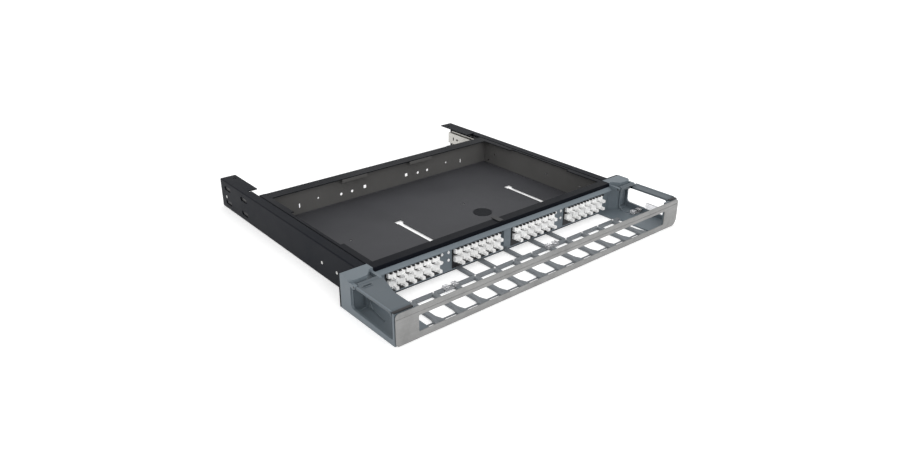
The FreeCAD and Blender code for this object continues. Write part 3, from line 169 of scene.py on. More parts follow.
@titled
class DrawerColours(bpy.types.PropertyGroup):
    """Colours of the drawer's finishes."""
    bracket_coat: paint("Powder coat of the side brackets", (0.006, 0.0075, 0.0115))
    tray_coat: paint("Powder coat on the tray's floor", (0.066, 0.067, 0.073))
    # painted light: the walls are the floor's powder coat made lighter where the front lamps' light falls on
    # them
    wall_painted_light: paint("Powder coat inside the tray's walls", (0.12, 0.118, 0.115))
    # painted reflection: the tray's folded rims are painted black for the dark surroundings that their glossy
    # tops reflect; the front sheet is given the same black
    black_coat_and_rim_reflection: paint("Powder coat of the folded rims and the hood", (0.003, 0.004, 0.007))
    zinc: paint("Plating of the slides", (0.56, 0.55, 0.52))
    # painted highlight: the rivets are the slides' zinc made paler to stand in for the bright glints on their
    # heads
    zinc_with_painted_highlight: paint("Plating of the rivets", (0.85, 0.85, 0.83))
    # painted shade: the outer slide members are painted black so that the slots in the brackets show shade
    # behind them; the hinge pins get the same black
    slot_shade_black: paint("Finish of the outer slide members", (0.012, 0.012, 0.014))
    steel: paint("Bright steel of balls, pins and screws", (0.62, 0.61, 0.6))
    grey_moulding: paint("Blue grey plastic of the panel and the guides", (0.14, 0.168, 0.19))
    lattice_grey: paint("Plastic of the lattice floor", (0.175, 0.19, 0.205))
    arm_grey: paint("Plastic of the gate arms", (0.088, 0.107, 0.122))
    black_moulding: paint("Plastic of the adapter blocks", (0.012, 0.012, 0.014))
    adapter_body: paint("Plastic of the adapters", (0.02, 0.021, 0.024))
    cap_white: paint("Plastic of the dust caps and pins", (0.94, 0.94, 0.93))
    silver_front: paint("Lacquer of the bezel", (0.275, 0.275, 0.272))
    clear_plastic: paint("Tint of the clips and the sill tab", (0.93, 0.93, 0.95))
    ceramic: paint("Sleeves inside the adapters", (0.78, 0.77, 0.72))


@titled
class DrawerSizes(bpy.types.PropertyGroup):
    """Sizes of the small fittings."""
    bezel_rise: length("How far the bezel's top edge stands above the plain plate", 0.0004)
    bezel_drop: length("How far the bezel's bottom edge hangs below the plain plate", 0.0011)
    lower_rail: length("Height of the bezel below its window", 0.0078)
    upper_rail: length("Height of the bezel above its window", 0.0112)
    window_margin: length("Distance from the bezel's end to its window", 0.0298)
    corner_radius: length("Radius of the bezel's corners", 0.0045)
    large_corner: length("Radius of the bezel's lower right corner", 0.009)
    window_corner: length("Radius of the window's corners", 0.0015)
    bezel_sheet: length("Thickness of the bezel between its ends", 0.0012)
    bezel_edge: length("Rounding of the bezel's edges", 0.0004)
    pad_inset: length("Distance of the thick end pads from the bezel's outline", 0.006)
    line_down: length("Distance from the bezel's top to its fine line", 0.0062)
    line_width: length("Width and depth of the fine line", 0.0005)
    bay_pitch: length("Distance between neighbouring bays of the lattice", 0.0323)
    beam_from: length("Distance from the front to the lattice's beam", 0.055)
    beam_width: length("Width of the lattice's beam", 0.005)
    beam_height: length("Height of the beam and of the ribs behind it", 0.004)
    rib_width: length("Width of a rib between two bays", 0.0062)
    rib_height: length("Height of a rib between two bays", 0.004)
    rib_flare: length("How far a rib widens to each side at its front", 0.0038)
    flare_from: length("Distance from the front at which a rib is at its widest", 0.004)
    flare_length: length("Length over which a rib widens", 0.014)
    rib_sweep: length("Length over which a rib rises to the front wall", 0.011)
    notch_depth: length("Depth of the notch in a rib's front end", 0.002)
    wall_height: length("Height of the lattice's front wall", 0.0046)
    wall_thickness: length("Thickness of the lattice's front wall", 0.002)
    bar_from: length("Distance from the front to the low cross bar", 0.0095)
    bar_width: length("Width of the low cross bar", 0.0015)
    bar_height: length("Height of the low cross bar", 0.0015)
    rear_rib_width: length("Width of a rib behind the beam", 0.0055)
    ridge_inset: length("Distance from the drawer's end to the ridge in its end guide", 0.0225)
    ridge_radius: length("Radius of the ridge", 0.0011)
    ridge_bend: length("Radius of the ridge's bend onto the floor", 0.009)
    ridge_reach: length("How far the ridge runs forward on the floor", 0.034)
    ridge_turn: length("How far the ridge's front end turns outward", 0.004)
    column_face: length("Distance from the mounting plane to the column's front", 0.027)
    guide_floor: length("Thickness of the end guide's floor", 0.0022)
    tip_height: length("Height of the black tip of a gate arm", 0.0055)
    tip_width: length("Width of the black tip of the left gate arm", 0.0255)
    right_arm_width: length("Width of the right gate arm in front of its hinge", 0.0155)
    hinge_clear: length("Length at the right arm's rear end that keeps its full width", 0.0085)
    rim_radius: length("Radius of the raised rim along a gate arm", 0.0008)
    cap_row_pitch: length("Distance between the two rows of dust caps", 0.0112)
    cap_narrow: ratio("Width of a dust cap against the plain one's", 0.9)
    cap_stretch: ratio("Height of a dust cap against the plain one's", 1.2)
    tooth_width: length("Width of a tooth above the dust caps", 0.0025)
    tooth_pitch: length("Distance between neighbouring teeth", 0.0064)
    tooth_slant: length("How far a tooth leans to the right", 0.0012)
    tooth_reach: length("How far a tooth stands out of its block", 0.0026)
    tooth_cover: length("How far a tooth hangs over the dust cap", 0.001)
    tooth_rise: length("How far a tooth stands above the dust cap", 0.0012)
    tooth_edge: length("Rounding of a tooth's edges", 0.0002)
    bezel_bow: length("How far the bezel's right end pulls in at its corners", 0.0014)
    bow_length: length("Length over which the bezel's right end pulls in", 0.02)
    moulded_edge: length("Rounding of the lattice's edges", 0.0003)
    pin_radius: length("Radius of the pins on the lattice beam", 0.0011)
    pin_height: length("Height of the pins on the lattice beam", 0.0016)
    screw_radius: length("Radius of a screw's head", 0.0027)
    screw_height: length("Height of a screw's head", 0.0012)
    recess_width: length("Width of the cross recess in a screw", 0.0007)
    rivet_radius: length("Radius of a snap rivet's head", 0.0019)
    rivet_height: length("Height of a snap rivet's head", 0.0008)
    sleeve_radius: length("Outer radius of an adapter's sleeve", 0.0016)
    sleeve_wall: length("Wall of an adapter's sleeve", 0.0003)
    sleeve_length: length("How far a sleeve stands out of its cavity's bottom", 0.005)


def new_group(name, inputs, outputs):
    """A new shader node group with number and vector inputs."""
    group = bpy.data.node_groups.new(name, "ShaderNodeTree")
    for label, default in inputs.items():
        kind = "NodeSocketVector" if isinstance(default, tuple) else "NodeSocketFloat"
        socket = group.interface.new_socket(name=label, in_out="INPUT", socket_type=kind)
        socket.default_value = default
    for label in outputs:
        group.interface.new_socket(name=label, in_out="OUTPUT", socket_type="NodeSocketFloat")
    return group, group.nodes.new("NodeGroupInput"), group.nodes.new("NodeGroupOutput")


def filled(group, leave, **results):
    """The group with each result linked to its output of that name."""
    for label, socket in results.items():
        group.links.new(socket, leave.inputs[label])
    return group


def noise(tree, vector, scale, detail, roughness=0.5):
    """A noise texture; a scale that is a socket is linked."""
    node = tree.nodes.new("ShaderNodeTexNoise")
    node.inputs["Detail"].default_value = detail
    node.inputs["Roughness"].default_value = roughness
    tree.links.new(vector, node.inputs["Vector"])
    if isinstance(scale, (int, float)):
        node.inputs["Scale"].default_value = scale
    else:
        tree.links.new(scale, node.inputs["Scale"])
    return node.outputs["Fac"]


def ranged(tree, socket, from_low, from_high, to_low, to_high):
    """The value stretched from one range to another, and held inside it."""
    node = tree.nodes.new("ShaderNodeMapRange")
    limits = {"From Min": from_low, "From Max": from_high, "To Min": to_low, "To Max": to_high}
    for label, number in limits.items():
        node.inputs[label].default_value = number
    tree.links.new(socket, node.inputs["Value"])
    return node.outputs["Result"]


def calculated(tree, operation, one, other):
    """One number worked out from two sockets, or from a socket and a number."""
    node = tree.nodes.new("ShaderNodeMath")
    node.operation = operation
    tree.links.new(one, node.inputs[0])
    if isinstance(other, (int, float)):
        node.inputs[1].default_value = other
    else:
        tree.links.new(other, node.inputs[1])
    return node.outputs[0]


def object_place(tree):
    """The place on the object, in metres."""
    return tree.nodes.new("ShaderNodeTexCoord").outputs["Object"]


def powder_coat_group():
    """Powder coat: fine orange peel, soft blotches and pale specks of dust on faces that look up."""
    group, entry, leave = new_group("powder_coat", {"Peel Scale": 900.0, "Blotch Scale": 14.0},
                                    ("Height", "Tone", "Dust"))
    place = object_place(group)
    peel = noise(group, place, entry.outputs["Peel Scale"], 3)
    blotch = noise(group, place, entry.outputs["Blotch Scale"], 5, 0.62)
    tone = ranged(group, blotch, 0.3, 0.7, 0, 1)
    speck = ranged(group, noise(group, place, 2600, 1), 0.66, 0.76, 0, 1)
    patch = ranged(group, noise(group, place, 26, 4), 0.45, 0.75, 0, 1)
    split = group.nodes.new("ShaderNodeSeparateXYZ")
    geometry = group.nodes.new("ShaderNodeNewGeometry")
    group.links.new(geometry.outputs["Normal"], split.inputs[0])
    upward = ranged(group, split.outputs["Z"], 0.6, 0.95, 0, 1)
    dust = calculated(group, "MULTIPLY", calculated(group, "MULTIPLY", speck, patch), upward)
    return filled(group, leave, Height=peel, Tone=tone, Dust=dust)


def drawn_metal_group():
    """Drawn or brushed metal: long fine lines in one direction, crossed by a few soft rubs."""
    group, entry, leave = new_group("drawn_metal", {"Direction": (40.0, 2600.0, 2600.0)},
                                    ("Height", "Tone", "Rub"))
    stretch = group.nodes.new("ShaderNodeVectorMath")
    stretch.operation = "MULTIPLY"
    place = object_place(group)
    group.links.new(place, stretch.inputs[0])
    group.links.new(entry.outputs["Direction"], stretch.inputs[1])
    lines = noise(group, stretch.outputs[0], 1, 4, 0.6)
    rub = ranged(group, noise(group, place, 32, 6, 0.7), 0.42, 0.7, 0, 1)
    return filled(group, leave, Height=lines, Tone=ranged(group, lines, 0.3, 0.7, 0, 1), Rub=rub)


def moulded_skin_group():
    """Moulded plastic: eroded texture of the tool, faint flow marks and a dull bloom."""
    group, entry, leave = new_group("moulded_skin", {"Grain Scale": 1500.0, "Flow Scale": 18.0},
                                    ("Height", "Tone", "Bloom"))
    place = object_place(group)
    cells = group.nodes.new("ShaderNodeTexVoronoi")
    cells.feature = "SMOOTH_F1"
    group.links.new(place, cells.inputs["Vector"])
    group.links.new(entry.outputs["Grain Scale"], cells.inputs["Scale"])
    flow = noise(group, place, entry.outputs["Flow Scale"], 3, 0.55)
    bloom = ranged(group, noise(group, place, 70, 6, 0.7), 0.35, 0.7, 0, 1)
    return filled(group, leave, Height=cells.outputs["Distance"], Tone=ranged(group, flow, 0.3, 0.7, 0, 1),
                  Bloom=bloom)


GROUP_MAKERS = {
    "powder_coat": powder_coat_group,
    "drawn_metal": drawn_metal_group,
    "moulded_skin": moulded_skin_group,
}


def placed_group(tree, name, values):
    """The shared group placed in a material with that material's own values."""
    node = tree.nodes.new("ShaderNodeGroup")
    node.node_tree = bpy.data.node_groups.get(name) or GROUP_MAKERS[name]()
    for label, number in values.items():
        node.inputs[label].default_value = number
    return node.outputs


def shade(colour, factor):
    """The colour made lighter or darker, for a colour socket."""
    return tuple(min(1, part * factor) for part in colour[:3]) + (1,)


def mixed(tree, factor, low, high):
    """A colour that runs from one to the other by the factor; either may be a socket."""
    node = tree.nodes.new("ShaderNodeMix")
    node.data_type = "RGBA"
    tree.links.new(factor, node.inputs["Factor"])
    for socket, colour in ((node.inputs[6], low), (node.inputs[7], high)):
        if isinstance(colour, tuple):
            socket.default_value = colour
        else:
            tree.links.new(colour, socket)
    return node.outputs[2]


def new_material(name, **constants):
    """A material with its Principled shader and that shader's constant values."""
    material = bpy.data.materials.new(name)
    material.use_nodes = True
    shader = material.node_tree.nodes["Principled BSDF"]
    for label, number in constants.items():
        shader.inputs[label.replace("_", " ")].default_value = number
    return material, material.node_tree, shader


def cover(tree, shader, colour, wear, rough, height, depth):
    """Links the colour, a roughness that follows the wear, and a bump of that depth in metres."""
    tree.links.new(colour, shader.inputs["Base Color"])
    tree.links.new(ranged(tree, wear, 0, 1, *rough), shader.inputs["Roughness"])
    bump = tree.nodes.new("ShaderNodeBump")
    bump.inputs["Distance"].default_value = depth
    tree.links.new(height, bump.inputs["Height"])
    tree.links.new(bump.outputs["Normal"], shader.inputs["Normal"])


def coated_steel(name, colour, gloss):
    """Powder coated steel sheet."""
    material, tree, shader = new_material(name, Specular_IOR_Level=0.06)
    coat = placed_group(tree, "powder_coat", {})
    tone = mixed(tree, coat["Tone"], shade(colour, 0.86), shade(colour, 1.16))
    dusty = mixed(tree, calculated(tree, "MULTIPLY", coat["Dust"], DUST_SHARE), tone, DUST_COLOUR)
    cover(tree, shader, dusty, coat["Tone"], (gloss, gloss + 0.12), coat["Height"], SKIN_DEPTH)
    return material


def knockout_painted_shade(tree, height):
    """Mask of the knock-out's painted shade: 1 inside the round knock-out of the tray's floor, and 0
    elsewhere.
    """
    flat = tree.nodes.new("ShaderNodeVectorMath")
    flat.operation = "MULTIPLY"
    flat.inputs[1].default_value = (1, 1, 0)
    tree.links.new(object_place(tree), flat.inputs[0])
    away = tree.nodes.new("ShaderNodeVectorMath")
    away.operation = "DISTANCE"
    away.inputs[1].default_value = KNOCKOUT_PLACE
    tree.links.new(flat.outputs[0], away.inputs[0])
    inside = ranged(tree, away.outputs["Value"], KNOCKOUT_RADIUS - KNOCKOUT_EDGE,
                    KNOCKOUT_RADIUS + KNOCKOUT_EDGE, 1, 0)
    return calculated(tree, "MULTIPLY", inside, ranged(tree, height, *KNOCKOUT_TOP, 1, 0))


def tray_steel(colours):
    """Coat of the tray: grey on the floor, painted lighter on the walls as painted light, black on the rims
    above the walls as a painted dark reflection, and black on the knock-out as painted shade.
    """
    material, tree, shader = new_material("tray_coat", Specular_IOR_Level=0.1)
    coat = placed_group(tree, "powder_coat", {"Peel Scale": 750.0, "Blotch Scale": 9.0})
    split = tree.nodes.new("ShaderNodeSeparateXYZ")
    tree.links.new(object_place(tree), split.inputs[0])
    floor = mixed(tree, coat["Tone"], shade(colours.tray_coat, 0.86), shade(colours.tray_coat, 1.14))
    # wall: the coat painted lighter as painted light from the front; above: where that painted light begins
    wall = mixed(tree, coat["Tone"], shade(colours.wall_painted_light, 0.88), shade(colours.wall_painted_light, 1.1))
    above = ranged(tree, split.outputs["Z"], *FLOOR_TO_PAINTED_WALL_LIGHT, 0, 1)
    # rim: where the painted dark reflection of the rims begins
    rim = ranged(tree, split.outputs["Z"], *WALL_TO_PAINTED_RIM_REFLECTION, 0, 1)
    # black: mask of the rims' painted dark reflection and of the knock-out's painted shade
    black = calculated(tree, "MAXIMUM", rim, knockout_painted_shade(tree, split.outputs["Z"]))
    body = mixed(tree, black, mixed(tree, above, floor, wall), shade(colours.black_coat_and_rim_reflection, 1))
    dusty = mixed(tree, calculated(tree, "MULTIPLY", coat["Dust"], DUST_SHARE), body, DUST_COLOUR)
    cover(tree, shader, dusty, coat["Tone"], (0.42, 0.56), coat["Height"], SKIN_DEPTH)
    return material


def drawn_steel(name, colour, direction, gloss, metal=0.9):
    """Plated or bright metal with drawing lines."""
    material, tree, shader = new_material(name, Metallic=metal)
    lines = placed_group(tree, "drawn_metal", {"Direction": direction})
    tone = mixed(tree, lines["Tone"], shade(colour, 0.88), shade(colour, 1.1))
    rubbed = mixed(tree, lines["Rub"], tone, shade(colour, 0.8))
    cover(tree, shader, rubbed, lines["Rub"], (gloss, gloss + 0.14), lines["Height"], FINE_DEPTH)
    return material


def moulded(name, colour, gloss, grain=1500.0, depth=SKIN_DEPTH):
    """Moulded plastic."""
    material, tree, shader = new_material(name, Specular_IOR_Level=0.4)
    skin = placed_group(tree, "moulded_skin", {"Grain Scale": grain})
    tone = mixed(tree, skin["Tone"], shade(colour, 0.93), shade(colour, 1.07))
    bloomed = mixed(tree, calculated(tree, "MULTIPLY", skin["Bloom"], 0.2), tone, shade(colour, 1.3))
    cover(tree, shader, bloomed, skin["Bloom"], (gloss, gloss + 0.1), skin["Height"], depth)
    return material


def white_plastic(name, context, gloss=0.3):
    """White moulded plastic with a fine grain."""
    return moulded(name, context.scene.drawer_colours.cap_white, gloss, 2500.0, FINE_DEPTH)


def clear_plastic(colours):
    """Clear moulded plastic with a slight haze."""
    material, tree, shader = new_material("clear_plastic", Transmission_Weight=0.8, IOR=1.49)
    skin = placed_group(tree, "moulded_skin", {"Grain Scale": 500.0})
    tint = mixed(tree, skin["Tone"], shade(colours.clear_plastic, 0.94), shade(colours.clear_plastic, 1.04))
    cover(tree, shader, tint, skin["Bloom"], (0.08, 0.26), skin["Height"], CLEAR_DEPTH)
    return material


def coat(material, *nodes):
    """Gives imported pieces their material."""
    for node in nodes:
        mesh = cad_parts[node].data
        mesh.materials.clear()
        mesh.materials.append(material)


def pick(piece):
    """Makes the piece the active one, and the only one that is chosen."""
    bpy.ops.object.select_all(action="DESELECT")
    piece.select_set(True)
    bpy.context.view_layer.objects.active = piece


def linked(name, data):
    """A new object in the scene with that mesh or curve."""
    piece = bpy.data.objects.new(name, data)
    bpy.context.scene.collection.objects.link(piece)
    return piece


def start_cylinder(name, radius, height, sides):
    """A cylinder standing on the origin, to be shaped further."""
    bpy.ops.object.select_all(action="DESELECT")
    bpy.ops.mesh.primitive_cylinder_add(vertices=sides, radius=radius, depth=height,
                                        location=(0, 0, height / 2))
    piece = bpy.context.object
    piece.name = name
    bpy.ops.object.transform_apply(location=True, rotation=True, scale=True)
    return piece


def choose_none(kind):
    """Leaves no face or edge of the active piece chosen."""
    bpy.ops.object.mode_set(mode="EDIT")
    bpy.ops.mesh.select_mode(type=kind)
    bpy.ops.mesh.select_all(action="DESELECT")
    bpy.ops.object.mode_set(mode="OBJECT")


def choose_top(piece):
    """Edit mode with only the highest upward face chosen."""
    choose_none("FACE")
    upward = [face for face in piece.data.polygons if face.normal.z > 0.9]
    max(upward, key=lambda face: (round(face.center.z, 6), face.area)).select = True
    bpy.ops.object.mode_set(mode="EDIT")


def domed_head(name, radius, height, sides=16):
    """A round head whose top rises in two steps to a flat crown."""
    piece = start_cylinder(name, radius, height * 0.5, sides)
    choose_top(piece)
    for inset, rise in HEAD_STEPS:
        bpy.ops.mesh.inset(thickness=radius * inset, depth=height * rise)
    bpy.ops.object.mode_set(mode="OBJECT")
    return piece


def block(name, low, high):
    """A box between two corners."""
    bpy.ops.object.select_all(action="DESELECT")
    middle = (Vector(low) + Vector(high)) / 2
    bpy.ops.mesh.primitive_cube_add(size=1, location=middle)
    piece = bpy.context.object
    piece.name = name
    piece.scale = Vector(high) - Vector(low)
    bpy.ops.object.transform_apply(location=True, rotation=True, scale=True)
    return piece


def round_corners(piece, axis, radius, segments, chosen):
    """Rounds the chosen edges that run along the axis."""
    points = piece.data.vertices
    pick(piece)
    choose_none("EDGE")
    for edge in piece.data.edges:
        start, end = (points[index].co for index in edge.vertices)
        along = (end - start).normalized()
        edge.select = abs(along[axis]) > 0.99 and chosen((start + end) / 2)
    bpy.ops.object.mode_set(mode="EDIT")
    bpy.ops.mesh.bevel(offset=radius, segments=segments, affect="EDGES")
    bpy.ops.object.mode_set(mode="OBJECT")


def carve_out(piece, cutter):
    """Takes the cutter's shape out of the piece."""
    pick(piece)
    carve = piece.modifiers.new("carve", "BOOLEAN")
    carve.operation = "DIFFERENCE"
    carve.object = cutter
    bpy.ops.object.modifier_apply(modifier=carve.name)
    bpy.data.objects.remove(cutter)


def cross_recess(piece, width, reach, low, high):
    """Cuts the two crossed slots of a screwdriver's recess."""
    for across, along in ((reach, width), (width, reach)):
        carve_out(piece, block("slot", (-across / 2, -along / 2, low), (across / 2, along / 2, high)))


def soften(piece, width):
    """Rounds every sharp edge of the piece."""
    pick(piece)
    edges = piece.modifiers.new("edges", "BEVEL")
    edges.width = width
    edges.segments = 2
    edges.limit_method = "ANGLE"
    edges.angle_limit = math.radians(40)
    bpy.ops.object.modifier_apply(modifier=edges.name)
    bpy.ops.object.shade_smooth_by_angle(angle=SMOOTH_ANGLE)


def cut_into_strips(piece, axis, places):
    """Cuts the piece's faces across the axis at those places."""
    pick(piece)
    bpy.ops.object.mode_set(mode="EDIT")
    for place in places:
        across = Vector((0, 0, 0))
        across[axis] = 1
        bpy.ops.mesh.select_all(action="SELECT")
        bpy.ops.mesh.bisect(plane_co=across * place, plane_no=across)
    bpy.ops.object.mode_set(mode="OBJECT")


def held(number):
    """The number kept between 0 and 1."""
    return max(0.0, min(1.0, number))


def joined(pieces, name):
    """The pieces joined into the first one."""
    bpy.ops.object.select_all(action="DESELECT")
    for piece in pieces:
        piece.select_set(True)
    bpy.context.view_layer.objects.active = pieces[0]
    bpy.ops.object.join()
    pieces[0].name = name
    return pieces[0]


def repeated(template, name, places, turn=(0, 0, 0)):
    """One piece made of a copy of the template at each place, each with its own mesh, and smoothed."""
    copies = []
    for place in places:
        copy = linked(name, template.data.copy())
        copy.data.transform(Matrix.Translation(place) @ Euler(turn).to_matrix().to_4x4())
        copies.append(copy)
    bpy.data.objects.remove(template)
    whole = joined(copies, name)
    bpy.ops.object.shade_smooth_by_angle(angle=SMOOTH_ANGLE)
    return whole


def dress(piece, material, body="drawer"):
    """The piece gets its material and its body."""
    piece.data.materials.clear()
    piece.data.materials.append(material)
    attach(piece, body)


class FinishBrackets(bpy.types.Operator):
    """Powder coat on the side brackets"""
    bl_idname = "drawer.finish_brackets"
    bl_label = "Finish brackets"

    def execute(self, context):
        colours = context.scene.drawer_colours
        material = coated_steel("bracket_coat", colours.bracket_coat, 0.4)
        coat(material, *(side + "_side_bracket" for side in SIDES))
        return {"FINISHED"}


class FinishSlides(bpy.types.Operator):
    """Zinc and bright steel on the telescopic slides, with black painted shade on the outer members and a
    painted highlight on the rivets
    """
    bl_idname = "drawer.finish_slides"
    bl_label = "Finish slides"

    def execute(self, context):
        colours = context.scene.drawer_colours
        zinc = drawn_steel("zinc_plate", colours.zinc, (1500.0, 30.0, 1500.0), 0.34, 0.75)
        bright = drawn_steel("bright_steel", colours.steel, (900.0, 900.0, 900.0), 0.16, 1.0)
        # rivets: zinc painted paler, as a painted highlight
        pale = drawn_steel("zinc_with_painted_highlight", colours.zinc_with_painted_highlight, (900.0, 900.0, 900.0), 0.4, 0.3)
        # outer slide members painted black as painted shade seen through the brackets' slots; the hinge pins
        # share this black
        black = drawn_steel("slot_shade_black", colours.slot_shade_black, (1500.0, 30.0, 1500.0), 0.4, 0.2)
        for side in SIDES:
            coat(black, side + "_outer_slide_member", side + "_hinge_pin")
            coat(pale, side + "_slide_rivets")
            coat(zinc, *("%s_%s" % (side, part) for part in (
                "middle_slide_member", "inner_slide_member", "outer_ball_cage", "inner_ball_cage")))
            coat(bright, *("%s_%s" % (side, part) for part in (
                "outer_slide_balls", "inner_slide_balls", "inner_slide_screws")))
        return {"FINISHED"}


class FinishTray(bpy.types.Operator):
    """Powder coat on the tray, its rear strip and the front sheet, with painted light on the tray's walls, a
    painted dark reflection on its rims and painted shade on its knock-out
    """
    bl_idname = "drawer.finish_tray"
    bl_label = "Finish tray"

    def execute(self, context):
        colours = context.scene.drawer_colours
        coat(tray_steel(colours), "tray", "rear_rim_rail")
        # the front sheet is given the black that is painted on the tray's rims as their dark reflection
        coat(coated_steel("black_coat_and_rim_reflection", colours.black_coat_and_rim_reflection, 0.36), "front_sheet")
        return {"FINISHED"}


class FinishMouldings(bpy.types.Operator):
    """Blue grey plastic on the panel, the end guides and the gate arms"""
    bl_idname = "drawer.finish_mouldings"
    bl_label = "Finish mouldings"

    def execute(self, context):
        colours = context.scene.drawer_colours
        grey = moulded("grey_moulding", colours.grey_moulding, 0.4)
        coat(grey, "front_panel_moulding")
        arm = moulded("arm_grey", colours.arm_grey, 0.42)
        for side in SIDES:
            coat(grey, side + "_end_guide")
            coat(arm, side + "_gate_arm")
        return {"FINISHED"}


class FinishAdapters(bpy.types.Operator):
    """Plastics of the adapter blocks, the adapters and the centre snap"""
    bl_idname = "drawer.finish_adapters"
    bl_label = "Finish adapters"

    def execute(self, context):
        colours = context.scene.drawer_colours
        block = moulded("black_moulding", colours.black_moulding, 0.42)
        adapter = moulded("adapter_body", colours.adapter_body, 0.3, 2200.0, FINE_DEPTH)
        for number in GROUPS:
            coat(block, "adapter_block_%d" % number)
            coat(adapter, "lc_adapters_%d" % number)
        coat(block, "centre_snap")
        return {"FINISHED"}


class AddBezel(bpy.types.Operator):
    """Brushed silver bezel with rounded edges and a fine line along its upper rail"""
    bl_idname = "drawer.add_bezel"
    bl_label = "Add bezel"

    def execute(self, context):
        sizes = context.scene.drawer_sizes
        low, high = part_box("bezel")
        bottom = low.z - sizes.bezel_drop
        top = high.z + sizes.bezel_rise
        middle = (bottom + top) / 2
        back = low.y + sizes.bezel_sheet
        bezel = block("bezel_frame", (low.x, low.y, bottom), (high.x, back, top))
        round_corners(bezel, 1, sizes.large_corner, 10, lambda at: at.x > 0 and at.z < middle)
        round_corners(bezel, 1, sizes.corner_radius, 5, lambda at: at.x < 0 or at.z > middle)
        margin = sizes.window_margin
        window = block("window", (low.x + margin, low.y - CUTTER_REACH, bottom + sizes.lower_rail),
                       (high.x - margin, high.y + CUTTER_REACH, top - sizes.upper_rail))
        round_corners(window, 1, sizes.window_corner, 3, lambda at: True)
        carve_out(bezel, window)
        line_top = top - sizes.line_down
        line = block("line",
                     (low.x - CUTTER_REACH, low.y - CUTTER_REACH, line_top - sizes.line_width),
                     (high.x + CUTTER_REACH, low.y + sizes.line_width, line_top))
        carve_out(bezel, line)
        soften(bezel, sizes.bezel_edge)
        for point in bezel.data.vertices:
            near = held((point.co.x - high.x) / sizes.bow_length + 1)
            point.co.x -= sizes.bezel_bow * near * ((point.co.z - middle) / (top - middle)) ** 2
        inset = sizes.pad_inset
        pads = [block("pad", (start + inset, back - PAD_OVERLAP, bottom + inset),
                      (start + margin - inset, high.y, top - inset))
                for start in (low.x, high.x - margin)]
        joined([bezel] + pads, "bezel_frame")
        colours = context.scene.drawer_colours
        silver = drawn_steel("silver_front", colours.silver_front, (25.0, 1800.0, 1800.0), 0.38, 0.45)
        dress(bezel, silver)
        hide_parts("bezel")
        return {"FINISHED"}


class FinishClearParts(bpy.types.Operator):
    """Clear plastic on the cable clips and the sill tab"""
    bl_idname = "drawer.finish_clear_parts"
    bl_label = "Finish clear parts"

    def execute(self, context):
        coat(clear_plastic(context.scene.drawer_colours), "cable_clips", "sill_tab")
        return {"FINISHED"}


def swept_rib(sizes, front, rear, floor):
    """One rib of the lattice: low and straight, then wider, notched and swept up to the front wall."""
    piece = block("rib", (-1, 0, 0), (1, 1, 1))
    cut_into_strips(piece, 1, [step / RIB_STRIPS for step in range(1, RIB_STRIPS)])
    cut_into_strips(piece, 0, (-0.5, 0, 0.5))
    for point in piece.data.vertices:
        across, along, up = point.co
        away = along * (rear - front)
        near = held(1 - away / sizes.rib_sweep)
        rise = (sizes.wall_height - sizes.rib_height) * (1 - math.sqrt(1 - near * near))
        widened = held((sizes.flare_from + sizes.flare_length - away) / sizes.flare_length)
        half = sizes.rib_width / 2 + sizes.rib_flare * widened * widened * (3 - 2 * widened)
        notch = sizes.notch_depth * widened if abs(across) < 0.1 else 0
        point.co = (across * half, front + away, floor + up * (sizes.rib_height + rise - notch))
    soften(piece, sizes.moulded_edge)
    return piece


class AddLattice(bpy.types.Operator):
    """Lattice floor with its beam, swept ribs, low cross bar and front wall"""
    bl_idname = "drawer.add_lattice"
    bl_label = "Add lattice"

    def execute(self, context):
        sizes = context.scene.drawer_sizes
        low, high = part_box("lattice_floor")
        beam_front = low.y + sizes.beam_from
        beam_rear = beam_front + sizes.beam_width
        bar_front = low.y + sizes.bar_from
        bezel_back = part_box("bezel")[0].y + sizes.bezel_sheet
        strips = (
            ("beam", beam_front, beam_rear, sizes.beam_height),
            ("bar", bar_front, bar_front + sizes.bar_width, sizes.bar_height),
            ("wall", bezel_back, low.y + sizes.wall_thickness, sizes.wall_height),
        )
        pieces = [block(name, (low.x, front, low.z), (high.x, rear, low.z + height))
                  for name, front, rear, height in strips]
        half = sizes.rear_rib_width / 2
        rib_top = low.z + sizes.beam_height - REAR_RIB_DROP
        for middle in REAR_RIBS:
            pieces.append(block("rear_rib", (middle - half, beam_rear - OVERLAP, low.z),
                                (middle + half, high.y, rib_top)))
        for piece in pieces:
            soften(piece, sizes.moulded_edge)
        template = swept_rib(sizes, low.y + RIB_START, beam_front + OVERLAP, low.z)
        ribs = repeated(template, "ribs", [((rib + 0.5) * sizes.bay_pitch, 0, 0) for rib in FRONT_RIBS])
        lattice = joined([ribs] + pieces, "lattice_grid")
        material = moulded("lattice_grey", context.scene.drawer_colours.lattice_grey, 0.4)
        dress(lattice, material)
        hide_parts("lattice_floor")
        return {"FINISHED"}


class AddLatticePins(bpy.types.Operator):
    """White pins where the lattice's ribs meet its beam"""
    bl_idname = "drawer.add_lattice_pins"
    bl_label = "Add lattice pins"

    def execute(self, context):
        sizes = context.scene.drawer_sizes
        template = domed_head("lattice_pin", sizes.pin_radius, sizes.pin_height)
        low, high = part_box("lattice_floor")
        beam_middle = low.y + sizes.beam_from + sizes.beam_width / 2
        beam_top = low.z + sizes.beam_height
        places = [((rib + 0.5) * sizes.bay_pitch, beam_middle, beam_top) for rib in FRONT_RIBS]
        pins = repeated(template, "lattice_pins", places)
        material = white_plastic("pin_white", context)
        dress(pins, material)
        return {"FINISHED"}


